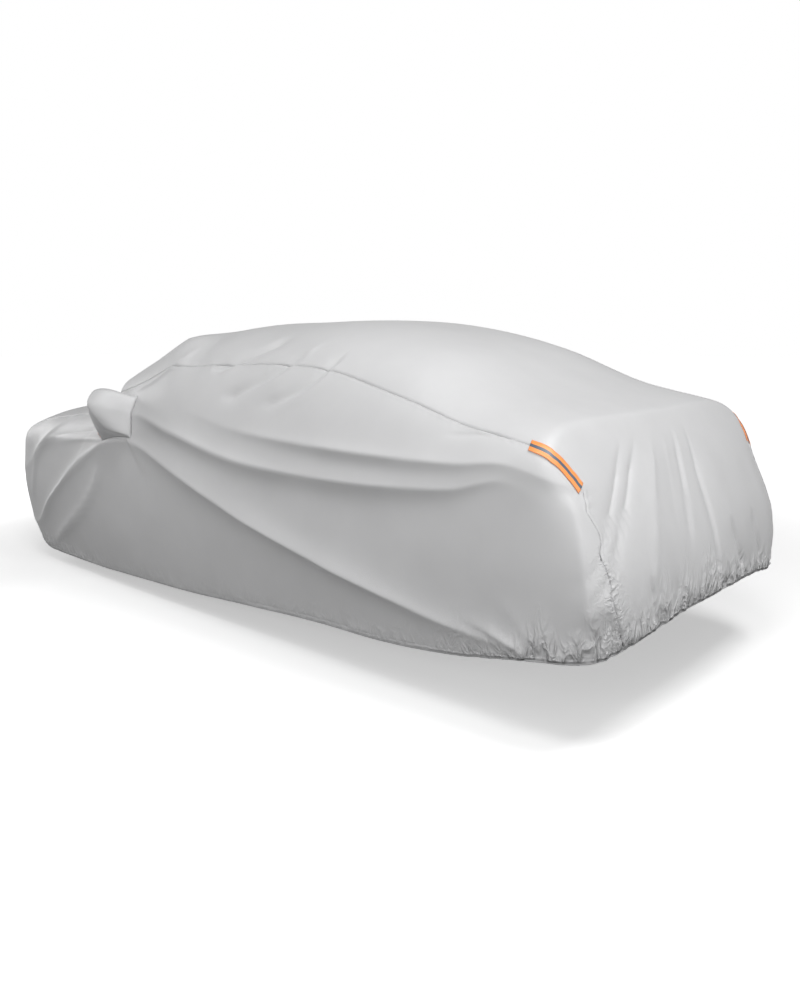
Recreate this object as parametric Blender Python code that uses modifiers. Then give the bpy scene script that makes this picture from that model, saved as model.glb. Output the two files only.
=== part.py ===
import bpy
import bmesh
import numpy as np
from mathutils import Vector
from mathutils.bvhtree import BVHTree

# A fitted cover for a saloon car, hollow, held up under its roof.
# Tables are in metres: x forward from the rear axle line, y to the left, z up from the ground.
# The finished part is moved so that its origin is the point under the roof that carries it.

CLOTH = 0.002          # thickness of the coated cloth
STRIP = 0.0012         # thickness of a reflective strip
GAP = 0.0003           # between sewn pieces
REST_X = 0.95          # where the roof carries the cover
BELT = 0.70            # height of the widest line of the sides
CORE_X = (0.3, 2.3)    # the car's axis, from which the cloth is pushed out
CORE_Z = (0.0, 0.62)
EDGE = 16.0            # larger is a sharper edge between the sides and the ends
BOOT_EDGE = 44.0       # how much sharper the boot's rear edge is
BOOT_RISE = 0.3        # over this height above the belt it sharpens
TUCK = 0.05            # share by which the sides draw in towards the hem
TUCK_DEPTH = 0.45      # how far below the belt they have drawn in by that share
CROWN = 2.6            # how late the top and the ends' corners curve down and away; 2 is a plain bow
CORNER_MOST = 1.3      # corners draw in no further out than this many widths
CELLS = 4              # grid columns between two ribs
# Grid rows of a side, by its lines: 0 hem, 1 slanting fold, 2 and 3 hanging folds, 4 seam.
ROWS = (0, 0.3, 0.58, 0.80, 0.93, 1, 1.1, 1.35, 1.65, 1.88, 2, 2.3, 2.7, 3, 3.25, 3.6, 4)
ACROSS = 12            # grid columns from seam to seam over the top
REAR_FINE = 3          # as many times more of them on the rear face, which hangs in small folds
END_FADE = 6           # larger keeps the shape of the upright ends nearer to them

# The car's bulk under the cloth, a row for each cross-section.
BULK = {
    "x":          (-1.00, -0.80, -0.40, 0.00, 0.50, 1.00, 1.45, 1.90, 2.35, 2.90, 3.35, 3.60),
    "half_width": (0.910, 0.905, 0.895, 0.89, 0.89, 0.89, 0.89, 0.89, 0.885, 0.875, 0.84, 0.80),
    "top":        (1.085, 1.140, 1.250, 1.41, 1.51, 1.515, 1.485, 1.31, 1.10, 0.995, 0.85, 0.76),
    "squareness": (7.0, 6.5, 4.0, 3.4, 3.1, 3.0, 3.2, 3.0, 3.4, 4.4, 4.6, 4.4),
}

# How far the two ends reach at each height, and how much their corners draw in.
ENDS = {
    "z":    (0.100, 0.250, 0.400, 0.55, 0.700, 0.850, 1.000, 1.10, 1.21),
    "tail": (-0.955, -0.990, -1.012, -1.02, -0.990, -0.925, -0.840, -0.77, -0.685),
    "nose": (3.450, 3.510, 3.550, 3.56, 3.533, 3.505, 3.480, 3.46, 3.44),
}
TAIL_CORNER = 0.03
NOSE_CORNER = 0.22
CORNER_WIDTH = 0.75

# Ribs of the cover from front to rear: the seam, the middle of the top and the hem.
#  seam_x seam_y seam_z  mid_x  mid_z  hem_x  hem_y  hem_z
RIBS = (
    (3.27, 0.74, 0.77, 3.45, 0.84, 3.30, 0.70, 0.160),
    (3.10, 0.77, 0.86, 3.20, 0.93, 3.12, 0.82, 0.090),
    (2.75, 0.79, 0.94, 2.85, 1.02, 2.75, 0.85, 0.080),
    (2.35, 0.80, 1.02, 2.45, 1.10, 2.38, 0.85, 0.080),
    (2.10, 0.80, 1.09, 2.15, 1.20, 2.12, 0.85, 0.090),
    (1.77, 0.79, 1.18, 1.85, 1.36, 1.78, 0.85, 0.105),
    (1.40, 0.76, 1.28, 1.42, 1.50, 1.42, 0.85, 0.120),
    (0.95, 0.74, 1.32, 0.95, 1.52, 0.97, 0.85, 0.155),
    (0.45, 0.75, 1.31, 0.45, 1.52, 0.45, 0.85, 0.190),
    (0.00, 0.78, 1.22, 0.02, 1.42, 0.02, 0.85, 0.205),
    (-0.35, 0.80, 1.13, -0.35, 1.28, -0.35, 0.85, 0.250),
    (-0.60, 0.81, 1.08, -0.62, 1.18, -0.62, 0.86, 0.310),
    (-0.74, 0.80, 1.03, -0.76, 1.11, -0.82, 0.86, 0.345),
    (-0.83, 0.77, 0.94, -0.86, 0.99, -0.98, 0.69, 0.385),
)
# The seam and the middle of the top panel on the two ends, from the hem up and from the boot down.
FRONT_ENDS = ((3.30, 0.70, 0.16, 3.52, 0.22), (3.36, 0.71, 0.47, 3.58, 0.50), RIBS[0][:5])
REAR_ENDS = (
    RIBS[-1][:5],
    (-0.88, 0.77, 0.83, -0.92, 0.86),
    (-0.94, 0.78, 0.69, -0.99, 0.70),
    (-0.975, 0.76, 0.53, -1.02, 0.55),
    (-0.98, 0.69, 0.385, -1.00, 0.43),
)

# Where those lines meet the seam's two upright ends, as shares of the way from hem to seam.
FRONT_SHARES = (0, 0.23, 0.70, 0.885, 1)
REAR_SHARES = (0, 0.24, 0.77, 0.88, 1)

# The three long folds of each side: height above the ground, and how far they stand out. The cloth
# leans out down to each line and turns in sharply under it; the slanting one has a lip on a wide swell.
LEFT_LINES = {
    "x":         (-1.00, -0.80, -0.62, -0.35, 0.00, 0.45, 0.95, 1.40, 1.77, 2.10, 2.37, 2.75, 3.11, 3.30),
    "slant_z":   (0.520, 0.450, 0.372, 0.376, 0.435, 0.530, 0.65, 0.78, 0.88, 0.85, 0.73, 0.47, 0.25, 0.30),
    "slant_out": (0.0, 0.0, 0.014, 0.030, 0.042, 0.048, 0.048, 0.040, 0.020, 0.012, 0.018, 0.020, 0.012, 0),
    "low_z":     (0.800, 0.880, 0.965, 0.920, 0.887, 0.867, 0.88, 0.96, 1.02, 0.93, 0.87, 0.82, 0.62, 0.59),
    "low_out":   (0.0, 0.0, 0.006, 0.022, 0.032, 0.034, 0.034, 0.028, 0.012, 0.0, 0.008, 0.014, 0.005, 0),
    "high_z":    (0.870, 0.940, 1.015, 0.992, 0.982, 0.989, 1.02, 1.09, 1.10, 1.00, 0.94, 0.90, 0.77, 0.70),
    "high_out":  (0.000, 0.006, 0.018, 0.030, 0.034, 0.034, 0.026, 0.006, 0, 0, 0, 0, 0, 0),
}
RIGHT_LINES = {
    "x":         LEFT_LINES["x"],
    "slant_z":   (0.520, 0.470, 0.400, 0.360, 0.430, 0.550, 0.66, 0.77, 0.88, 0.85, 0.72, 0.45, 0.25, 0.30),
    "slant_out": (0.0, 0.0, 0.008, 0.022, 0.032, 0.036, 0.034, 0.026, 0.014, 0.008, 0.016, 0.018, 0.010, 0),
    "low_z":     (0.800, 0.870, 0.930, 0.900, 0.870, 0.860, 0.88, 0.93, 0.99, 0.93, 0.87, 0.82, 0.62, 0.59),
    "low_out":   (0.000, 0.000, 0.008, 0.020, 0.026, 0.028, 0.026, 0.020, 0.010, 0.0, 0.008, 0.012, 0.004, 0),
    "high_z":    (0.870, 0.930, 0.985, 1.000, 1.000, 1.000, 1.04, 1.09, 1.10, 1.00, 0.94, 0.90, 0.77, 0.70),
    "high_out":  (0.000, 0.000, 0.008, 0.014, 0.018, 0.014, 0.008, 0.0, 0, 0, 0, 0, 0, 0),
}
# How far the cloth bends above and below each line, and the lip's share of the slanting fold.
SLANT_REACH = (0.170, 0.150)
SLANT_SOFT = 0.010
LIP_REACH = (0.050, 0.018)
LIP_SHARE = 0.4
LOW_REACH = (0.110, 0.040)
HIGH_REACH = (0.150, 0.045)
FOLD_SOFT = 0.3        # how round a fold's line is, as a share of its smaller reach
FOLD_FALL = 1.4        # how fast a fold falls off over its reach
FOLD_STEPS = 13        # points along a fold's line
FOLD_GROWTH = 6.4      # how soon a fold grows to its height from its two ends
FOLD_LEAST = 0.15      # share of its height at its very ends

# Where the folds of the sides and of the rear face begin, and over what length they fade in.
SIDE_FADE = (0.35, 0.25)
REAR_FADE = (-0.77, 0.08)

# Lesser folds: the line from, by and to, then the height (a ridge is positive, a trough negative)
# and how far the fold reaches above and below its line. Side folds are drawn in x and z.
LEFT_FOLDS = (
    # from_x from_z  by_x   by_z   to_x   to_z  height above below
    (1.35, 1.47, 1.75, 1.310, 2.08, 1.100, 0.085, 0.120, 0.260),    # cloth stretched roof to pocket
    (2.16, 0.72, 2.40, 0.480, 2.92, 0.150, 0.014, 0.040, 0.040),
    (1.10, 1.16, 0.94, 1.310, 0.80, 1.430, 0.018, 0.060, 0.030),    # wrinkles over the door tops
    (0.82, 1.18, 0.66, 1.290, 0.54, 1.420, 0.018, 0.060, 0.030),
    (0.62, 1.12, 0.46, 1.230, 0.36, 1.380, 0.016, 0.060, 0.030),
    (-0.78, 0.91, -0.89, 0.710, -0.92, 0.470, -0.012, 0.045, 0.045),
    (-0.50, 0.41, -0.60, 0.375, -0.70, 0.335, 0.014, 0.030, 0.030),
)
RIGHT_FOLDS = (
    (1.35, 1.47, 1.75, 1.310, 2.08, 1.100, 0.075, 0.120, 0.260),
    (0.95, 1.28, 0.80, 1.370, 0.70, 1.450, -0.012, 0.040, 0.050),
    (-0.78, 0.91, -0.88, 0.690, -0.92, 0.480, -0.010, 0.045, 0.045),
)
# Folds that hang from the boot's edge down the rear face, drawn in y and z.
REAR_FOLDS = (
    # from_y from_z  by_y   by_z   to_y   to_z  height above below
    (0.41, 1.07, 0.62, 0.927, 0.77, 0.781, -0.010, 0.030, 0.060),
    (0.31, 1.06, 0.58, 0.873, 0.76, 0.690, -0.012, 0.030, 0.060),
    (0.20, 1.05, 0.43, 0.799, 0.53, 0.573, -0.010, 0.030, 0.070),
    (0.09, 1.04, 0.22, 0.840, 0.25, 0.736, -0.006, 0.035, 0.045),
    (0.00, 1.03, 0.10, 0.870, 0.20, 0.685, -0.008, 0.035, 0.050),
    (-0.14, 1.02, -0.02, 0.737, -0.07, 0.449, -0.012, 0.035, 0.050),
    (-0.20, 0.68, -0.25, 0.600, -0.34, 0.450, -0.014, 0.035, 0.035),
    (-0.46, 0.68, -0.51, 0.580, -0.60, 0.410, -0.014, 0.035, 0.035),
)

# The mirror pocket along its foot, front to rear: how far it stands out and how far it rises.
POCKET_ALONG = {"share": (0.0, 0.12, 0.35, 0.65, 0.88, 1.0),
                "reach": (0.0, 0.080, 0.155, 0.180, 0.110, 0.0),
                "lift": (0.0, 0.045, 0.088, 0.115, 0.075, 0.0)}
# The same pocket from its foot's lower edge, round the lip, to its upper edge, as shares.
POCKET_ROUND = {"share": (0.0, 0.10, 0.25, 0.50, 0.78, 1.0),
                "reach": (0.0, 0.48, 0.82, 1.00, 0.62, 0.0),
                "lift": (0.0, 0.20, 0.55, 0.85, 1.00, 0.0)}
POCKET_RIBS = (4, 5)   # the pocket's foot lies between these two ribs
POCKET_ROWS = (5, 13)   # and between these rows of the side's grid
POCKET_FINE = (3, 2)   # pocket cells to a cell of the side, along and round

# Reflective strips: half their width, and the seam's ribs where they start and end.
STRIP_HALF = 0.025
STRIP_LIFT = 0.0011    # off the highest cloth under it, as the strip is stiffer than the cloth
RAY = 0.08             # from how far off the cloth under a strip is found
REAR_STRIP = (11.15, 12.9)
STRIP_CELLS = (14, 5)
POCKET_STRIP = (0.16, 0.15, 0.85)   # its place along the pocket, then its ends round the pocket


def through(xs, ys, x):
    """A smooth curve through the table's values."""
    xs, ys = np.asarray(xs, float), np.asarray(ys, float)
    slope = np.gradient(ys, xs, axis=0)
    i = np.clip(np.searchsorted(xs, x) - 1, 0, len(xs) - 2)
    step = xs[i + 1] - xs[i]
    t = np.clip((x - xs[i]) / step, 0, 1)
    if ys.ndim == 2:
        t, step = t[..., None], step[..., None]
    start = (1 + 2 * t) * (1 - t) ** 2 * ys[i] + t * (1 - t) ** 2 * step * slope[i]
    return start + t * t * (3 - 2 * t) * ys[i + 1] + t * t * (t - 1) * step * slope[i + 1]


def along_rows(rows, shares):
    """A table's rows, read at shares of the way from its first row to its last."""
    rows = np.array(rows, float)
    return through(np.arange(len(rows)), rows, np.asarray(shares) * (len(rows) - 1))


def end_rows(table, line_shares):
    """The seam's upright end, read where the side's grid rows meet it."""
    return along_rows(table, np.interp(ROWS, range(len(line_shares)), line_shares))


def fullness(points):
    """1 on the bulk's surface, less inside it and more outside."""
    x, y, z = points[..., 0], np.abs(points[..., 1]), points[..., 2]
    half, top, square = (through(BULK["x"], BULK[k], x) for k in ("half_width", "top", "squareness"))
    half = half * (1 - TUCK * (np.maximum(BELT - z, 0) / TUCK_DEPTH) ** 2)
    above = np.maximum(z - BELT, 0) / (top - BELT)
    girth = ((y / half) ** square + above ** square) ** (1 / square)
    aside = np.clip(y / CORNER_WIDTH, 0, CORNER_MOST) ** CROWN
    tail = through(ENDS["z"], ENDS["tail"], z) + TAIL_CORNER * aside
    nose = through(ENDS["z"], ENDS["nose"], z) - NOSE_CORNER * aside
    back = np.maximum((CORE_X[0] - x) / (CORE_X[0] - tail), 0)
    front = np.maximum((x - CORE_X[1]) / (nose - CORE_X[1]), 0)
    edge = EDGE + BOOT_EDGE * np.clip((z - BELT) / BOOT_RISE, 0, 1) * (x < CORE_X[0])
    return (girth ** edge + back ** edge + front ** edge) ** (1 / edge)


def fold(across, up, rows):
    """Height of a table of folds at points of a plane, across and up."""
    height = np.zeros_like(across)
    steps = np.linspace(0, 1, FOLD_STEPS)
    for row in rows:
        start, by, end = np.array(row[0:2]), np.array(row[2:4]), np.array(row[4:6])
        rise, above, below = row[6:9]
        pull = 2 * by - (start + end) / 2
        line = ((1 - steps) ** 2)[:, None] * start + (2 * steps * (1 - steps))[:, None] * pull
        line = line + (steps ** 2)[:, None] * end
        chord = end - start
        normal = np.array([-chord[1], chord[0]])
        flip = 1 if normal[1] + 0.01 * normal[0] > 0 else -1
        nearest = np.full(across.shape, 9.0)
        share = np.zeros_like(across)
        side = np.ones_like(across)
        for k in range(len(line) - 1):
            run = line[k + 1] - line[k]
            length = np.hypot(*run)
            off_a, off_u = across - line[k][0], up - line[k][1]
            t = np.clip((off_a * run[0] + off_u * run[1]) / length ** 2, 0, 1)
            gap_a, gap_u = off_a - t * run[0], off_u - t * run[1]
            away = np.hypot(gap_a, gap_u)
            closer = away < nearest
            nearest = np.where(closer, away, nearest)
            share = np.where(closer, (k + t) / (len(line) - 1), share)
            side = np.where(closer, np.sign((-run[1] * gap_a + run[0] * gap_u) * flip), side)
        ends = np.clip(FOLD_GROWTH * share * (1 - share), FOLD_LEAST, 1)
        height += rise * bend(nearest * side, (above, below)) * ends
    return height


def bend(off, reach, soft=None):
    """1 on a fold's line, falling off over its reach above and below."""
    soft = soft or FOLD_SOFT * min(reach)
    return np.exp(FOLD_FALL * (soft - np.sqrt(off ** 2 + soft ** 2)) / np.where(off > 0, *reach))


def long_folds(x, z, lines):
    """Height of a side's three long folds."""
    slant, low, high = (z - through(lines["x"], lines[k], x) for k in ("slant_z", "low_z", "high_z"))
    slant_out, low_out, high_out = (
        through(lines["x"], lines[k], x) for k in ("slant_out", "low_out", "high_out"))
    swell = (1 - LIP_SHARE) * bend(slant, SLANT_REACH, SLANT_SOFT) + LIP_SHARE * bend(slant, LIP_REACH)
    return slant_out * swell + low_out * bend(low, LOW_REACH) + high_out * bend(high, HIGH_REACH)


def relief(points):
    """How far the folds lift the cloth off the bulk."""
    x, y, z = points[..., 0], points[..., 1], points[..., 2]
    left = fold(x, z, LEFT_FOLDS) + long_folds(x, z, LEFT_LINES)
    right = fold(x, z, RIGHT_FOLDS) + long_folds(x, z, RIGHT_LINES)
    aside = np.clip((np.abs(y) - SIDE_FADE[0]) / SIDE_FADE[1], 0, 1)
    behind = np.clip((REAR_FADE[0] - x) / REAR_FADE[1], 0, 1)
    return np.where(y > 0, left, right) * aside + fold(y, z, REAR_FOLDS) * behind


def drape(guides):
    """Each guide point, moved from the car's axis out to the cloth."""
    axis = np.zeros_like(guides)
    axis[..., 0] = np.clip(guides[..., 0], *CORE_X)
    axis[..., 2] = np.clip(guides[..., 2], *CORE_Z)
    way = guides - axis
    way /= np.linalg.norm(way, axis=-1, keepdims=True)
    near, far = np.zeros(guides.shape[:-1]), np.full(guides.shape[:-1], 3.0)
    for _ in range(30):
        middle = (near + far) / 2
        outside = fullness(axis + way * middle[..., None]) > 1
        far, near = np.where(outside, middle, far), np.where(outside, near, middle)
    bulk = axis + way * far[..., None]
    return bulk + way * relief(bulk)[..., None]


def rib_shares():
    """Shares of the way from the front rib to the rear one, a few to each pair of ribs."""
    return np.linspace(0, 1, CELLS * (len(RIBS) - 1) + 1)


def top_guides():
    """Rows from the front hem over the roof to the rear hem, columns from left to right."""
    front = end_rows(FRONT_ENDS, FRONT_SHARES)
    roof = along_rows([row[:5] for row in RIBS], rib_shares())
    rear = end_rows(REAR_ENDS[::-1], REAR_SHARES)[::-1]
    rows = np.concatenate([front[:-1], roof, rear[1:]])
    seam, middle = rows[:, None, 0:3], rows[:, None, 3:5]
    v = np.linspace(1, -1, ACROSS * REAR_FINE + 1)[None, :]
    x = middle[..., 0] + (seam[..., 0] - middle[..., 0]) * v ** 2
    z = middle[..., 1] + (seam[..., 2] - middle[..., 1]) * np.abs(v) ** CROWN
    return np.stack([x, seam[..., 1] * v, z], -1)


def side_guides(lines):
    """Ribs from front to rear, rows from the hem up to the seam, drawn on the left side."""
    ribs = along_rows(RIBS, rib_shares())
    seam, hem = ribs[:, 0:3], ribs[:, 5:8]
    across = (seam[:, 0] + hem[:, 0]) / 2
    marks = [hem[:, 2]] + [through(lines["x"], lines[k], across) for k in ("slant_z", "low_z", "high_z")]
    marks = (np.array(marks + [seam[:, 2]]) - hem[:, 2]) / (seam[:, 2] - hem[:, 2])
    w = np.array([np.interp(ROWS, range(5), column) for column in marks.T])[..., None]
    ruled = hem[:, None] * (1 - w) + seam[:, None] * w
    front = end_rows(FRONT_ENDS, FRONT_SHARES)[:, 0:3] - ruled[0]
    rear = end_rows(REAR_ENDS[::-1], REAR_SHARES)[:, 0:3] - ruled[-1]
    u = rib_shares()[:, None, None]
    return ruled + (1 - u) ** END_FADE * front + u ** END_FADE * rear


def part_edges(grid, sides):
    """Draw the sewn edges of a grid back by half a gap."""
    grid = grid.copy()
    for edge, inner in sides:
        way = grid[inner] - grid[edge]
        grid[edge] += way / np.linalg.norm(way, axis=-1, keepdims=True) * GAP / 2
    return grid


def material(name, colour, roughness):
    made = bpy.data.materials.new(name)
    made.use_nodes = True
    shader = made.node_tree.nodes["Principled BSDF"]
    shader.inputs["Base Color"].default_value = (*colour, 1)
    shader.inputs["Roughness"].default_value = roughness
    shader.inputs["Metallic"].default_value = 0
    return made


def grid_faces(rows, columns, skip):
    """Quads between neighbouring rows, but for a hole."""
    faces = []
    for i, j in np.ndindex(rows - 1, columns - 1):
        if not skip or not (skip[0] <= i < skip[1] and skip[2] <= j < skip[3]):
            a = i * columns + j
            faces.append((a, a + columns, a + columns + 1, a + 1))
    return faces


def sheet_object(name, points, faces, made, turn=False, wall=CLOTH):
    """A sheet of the given faces, with the cloth's thickness outwards."""
    mesh = bpy.data.meshes.new(name)
    mesh.from_pydata([tuple(p) for p in points], [], [f[::-1] for f in faces] if turn else faces)
    drop_loose(mesh)
    mesh.shade_smooth()
    mesh.materials.append(made)
    sheet = bpy.data.objects.new(name, mesh)
    cover.objects.link(sheet)
    thick = sheet.modifiers.new("cloth", "SOLIDIFY")
    thick.thickness = wall
    thick.offset = 1
    thick.use_even_offset = False
    return sheet


def grid_object(name, grid, made, skip=None, turn=False, wall=CLOTH):
    return sheet_object(name, grid.reshape(-1, 3), grid_faces(*grid.shape[:2], skip), made, turn, wall)


def top_object(name, grid, rear_row, made):
    """The top panel: coarse columns as far as the boot's edge, fine ones below it."""
    coarse, fine = grid[:rear_row + 1, ::REAR_FINE], grid[rear_row + 1:]
    shift = coarse.shape[0] * coarse.shape[1]
    faces = grid_faces(*coarse.shape[:2], None)
    faces += [tuple(shift + k for k in face) for face in grid_faces(*fine.shape[:2], None)]
    for j in range(ACROSS):
        a, b = shift - ACROSS - 1 + j, shift + j * REAR_FINE
        faces += [(a, b, b + 1), (a, b + 1, a + 1)]
        faces += [(a + 1, b + k, b + k + 1) for k in range(1, REAR_FINE)]
    points = np.concatenate([coarse.reshape(-1, 3), fine.reshape(-1, 3)])
    return sheet_object(name, points, faces, made)


def drop_loose(mesh):
    """Delete the points that no face uses."""
    shape = bmesh.new()
    shape.from_mesh(mesh)
    bmesh.ops.delete(shape, geom=[v for v in shape.verts if not v.link_faces], context="VERTS")
    shape.to_mesh(mesh)
    shape.free()


def outer_points(grid, turn):
    """A grid moved out along its normals by the cloth and a gap."""
    down = np.gradient(grid, axis=0)
    over = np.gradient(grid, axis=1)
    normal = np.cross(down, over) * (-1 if turn else 1)
    normal /= np.linalg.norm(normal, axis=-1, keepdims=True)
    return grid + normal * (CLOTH + GAP)


def refine(grid, factors):
    """The same grid with straight points added between its own."""
    def split(points, factor):
        t = np.arange(0, (len(points) - 1) * factor + 1) / factor
        i = np.minimum(t.astype(int), len(points) - 2)
        share = (t - i).reshape(-1, *[1] * (points.ndim - 1))
        return points[i] * (1 - share) + points[i + 1] * share
    return split(split(grid, factors[0]).swapaxes(0, 1), factors[1]).swapaxes(0, 1)


def pocket_grid(side, hand):
    """The pocket over its foot: hand is 1 on the left and -1 on the right."""
    first, last = (CELLS * r for r in POCKET_RIBS)
    low, high = POCKET_ROWS
    foot = outer_points(side, hand < 0)[first:last + 1, low:high + 1]
    foot = refine(foot, POCKET_FINE)
    a = np.linspace(0, 1, foot.shape[0])[:, None]
    b = np.linspace(0, 1, foot.shape[1])[None, :]
    reach = through(POCKET_ALONG["share"], POCKET_ALONG["reach"], a)
    lift = through(POCKET_ALONG["share"], POCKET_ALONG["lift"], a)
    out = reach * through(POCKET_ROUND["share"], POCKET_ROUND["reach"], b)
    up = lift * through(POCKET_ROUND["share"], POCKET_ROUND["lift"], b)
    moved = foot.copy()
    moved[..., 1] += hand * out
    moved[..., 2] += up
    return moved


def laid_strip(name, path, aside, under, made):
    """A strip along a path, laid on the cloth that lies under it."""
    trees = []
    bpy.context.view_layer.update()
    graph = bpy.context.evaluated_depsgraph_get()
    for sheet in under:
        trees.append(BVHTree.FromObject(sheet, graph))
    grid = path[:, None] + aside[:, None] * np.linspace(-STRIP_HALF, STRIP_HALF, STRIP_CELLS[1] + 1)[:, None]
    run = np.gradient(grid, axis=0)
    over = np.gradient(grid, axis=1)
    normal = np.cross(run, over)
    normal /= np.linalg.norm(normal, axis=-1, keepdims=True)
    centre = np.array([grid[..., 0].mean(), 0, grid[..., 2].mean() - 0.3])
    normal *= np.sign(((grid - centre) * normal).sum())
    for i in np.ndindex(grid.shape[:2]):
        start = grid[i] + normal[i] * RAY
        near = []
        for a, b in np.ndindex(5, 5):
            point = Vector(start + run[i] * (a - 2) / 4 + over[i] * (b - 2) / 4)
            hits = [tree.ray_cast(point, Vector(-normal[i]), 2 * RAY) for tree in trees]
            near += [hit[3] for hit in hits if hit[0] is not None]
        grid[i] = start - normal[i] * (min(near) - STRIP_LIFT)
    turn = (np.cross(np.gradient(grid, axis=0), np.gradient(grid, axis=1)) * normal).sum() < 0
    return grid_object(name, grid, made, turn=turn, wall=STRIP)


for old in list(bpy.data.objects):
    bpy.data.objects.remove(old)
cover = bpy.data.collections.new("car_cover")
bpy.context.scene.collection.children.link(cover)

cloth = material("silver_cloth", (0.62, 0.62, 0.63), 0.55)
orange = material("orange_reflective", (0.9, 0.28, 0.06), 0.4)

origin = drape(np.array([[REST_X, 0.0, 2.0]]))[0]
top = drape(top_guides()) - origin
left = drape(side_guides(LEFT_LINES)) - origin
right = drape(side_guides(RIGHT_LINES) * (1, -1, 1)) - origin

seams = [((slice(None), 0), (slice(None), 1)), ((slice(None), -1), (slice(None), -2))]
ends = [((slice(None), -1), (slice(None), -2)), ((0, slice(None)), (1, slice(None))),
        ((-1, slice(None)), (-2, slice(None)))]
top = part_edges(top, seams)
left = part_edges(left, ends)
right = part_edges(right, ends)

hole = (CELLS * POCKET_RIBS[0], CELLS * POCKET_RIBS[1], *POCKET_ROWS)
rear_row = len(ROWS) - 1 + CELLS * (len(RIBS) - 2)
top_panel = top_object("top_panel", top, rear_row, cloth)
sides = {}
for hand, label, grid in ((1, "left", left), (-1, "right", right)):
    sides[hand] = grid_object("side_panel_" + label, grid, cloth, skip=hole, turn=hand < 0)
    pocket = pocket_grid(grid, hand)
    pouch = grid_object("mirror_pocket_" + label, pocket, cloth, turn=hand < 0)

    ribs = np.linspace(*REAR_STRIP, STRIP_CELLS[0] + 1)
    rows = through(np.arange(len(RIBS)), np.array(RIBS)[:, 0:3], ribs)
    path = drape(rows * (1, hand, 1)) - origin
    inward = drape(rows * (1, hand, 1) + (0.0, -0.05 * hand, 0.05)) - origin - path
    inward /= np.linalg.norm(inward, axis=-1, keepdims=True)
    laid_strip("reflective_strip_rear_" + label, path, inward, (top_panel, sides[hand]), orange)

    front = int(POCKET_STRIP[0] * (pocket.shape[0] - 1))
    low, high = (int(share * (pocket.shape[1] - 1)) for share in POCKET_STRIP[1:])
    path = pocket[front, low:high + 1]
    along = pocket[front + 1, low:high + 1] - pocket[front - 1, low:high + 1]
    along /= np.linalg.norm(along, axis=-1, keepdims=True)
    laid_strip("reflective_strip_mirror_" + label, path, along, (pouch,), orange)
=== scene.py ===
import math
import bpy
import numpy as np
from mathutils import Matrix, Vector
from mathutils.bvhtree import BVHTree


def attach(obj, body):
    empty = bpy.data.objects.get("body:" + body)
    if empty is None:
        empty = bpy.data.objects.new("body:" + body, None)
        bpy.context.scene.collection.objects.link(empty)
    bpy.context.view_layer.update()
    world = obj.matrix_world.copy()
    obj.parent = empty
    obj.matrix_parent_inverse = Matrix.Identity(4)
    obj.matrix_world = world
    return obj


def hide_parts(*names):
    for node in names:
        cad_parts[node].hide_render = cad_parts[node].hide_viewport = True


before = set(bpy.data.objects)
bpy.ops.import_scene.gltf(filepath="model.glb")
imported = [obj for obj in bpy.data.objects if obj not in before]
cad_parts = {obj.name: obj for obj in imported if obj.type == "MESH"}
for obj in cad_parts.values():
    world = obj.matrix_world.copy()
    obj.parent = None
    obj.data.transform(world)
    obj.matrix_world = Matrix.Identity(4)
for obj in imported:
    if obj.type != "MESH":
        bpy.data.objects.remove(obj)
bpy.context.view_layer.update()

# A fitted cover for a saloon car. Its tables are in metres from the ground under the rear axle:
# x forward, y to the left, z up. origin is where that frame puts the row's own origin.
origin = np.array([0.95, 0.0, 1.51656171])

# The bulk under the cloth: its core, its widest line, how its sides draw in below that line, and how
# sharp its edges and how round its corners are.
bulk = {
    "coreX": (0.3, 2.3), "coreZ": (0.0, 0.62), "belt": 0.70, "tuck": 0.05, "tuckDepth": 0.45,
    "edge": 16.0, "bootEdge": 84.0, "tailCorner": 0.03, "noseCorner": 0.22,
    "cornerWidth": 0.75, "cornerMost": 1.3, "crown": 2.6,
}
section = {
    "x": (-1.00, -0.80, -0.40, 0.00, 0.50, 1.00, 1.45, 1.90, 2.35, 2.90, 3.35, 3.60),
    "halfWidth": (0.910, 0.905, 0.895, 0.89, 0.89, 0.89, 0.89, 0.89, 0.885, 0.875, 0.84, 0.80),
    "top": (1.085, 1.140, 1.250, 1.41, 1.51, 1.515, 1.485, 1.31, 1.10, 0.995, 0.85, 0.76),
    "squareness": (7.0, 6.5, 4.0, 3.4, 3.1, 3.0, 3.2, 3.0, 3.4, 4.4, 4.6, 4.4),
}
ends = {
    "z": (0.100, 0.250, 0.400, 0.55, 0.700, 0.850, 1.000, 1.10, 1.21),
    "tail": (-0.955, -0.990, -1.012, -1.02, -0.990, -0.925, -0.840, -0.77, -0.685),
    "nose": (3.450, 3.510, 3.550, 3.56, 3.533, 3.505, 3.480, 3.46, 3.44),
}
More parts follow.
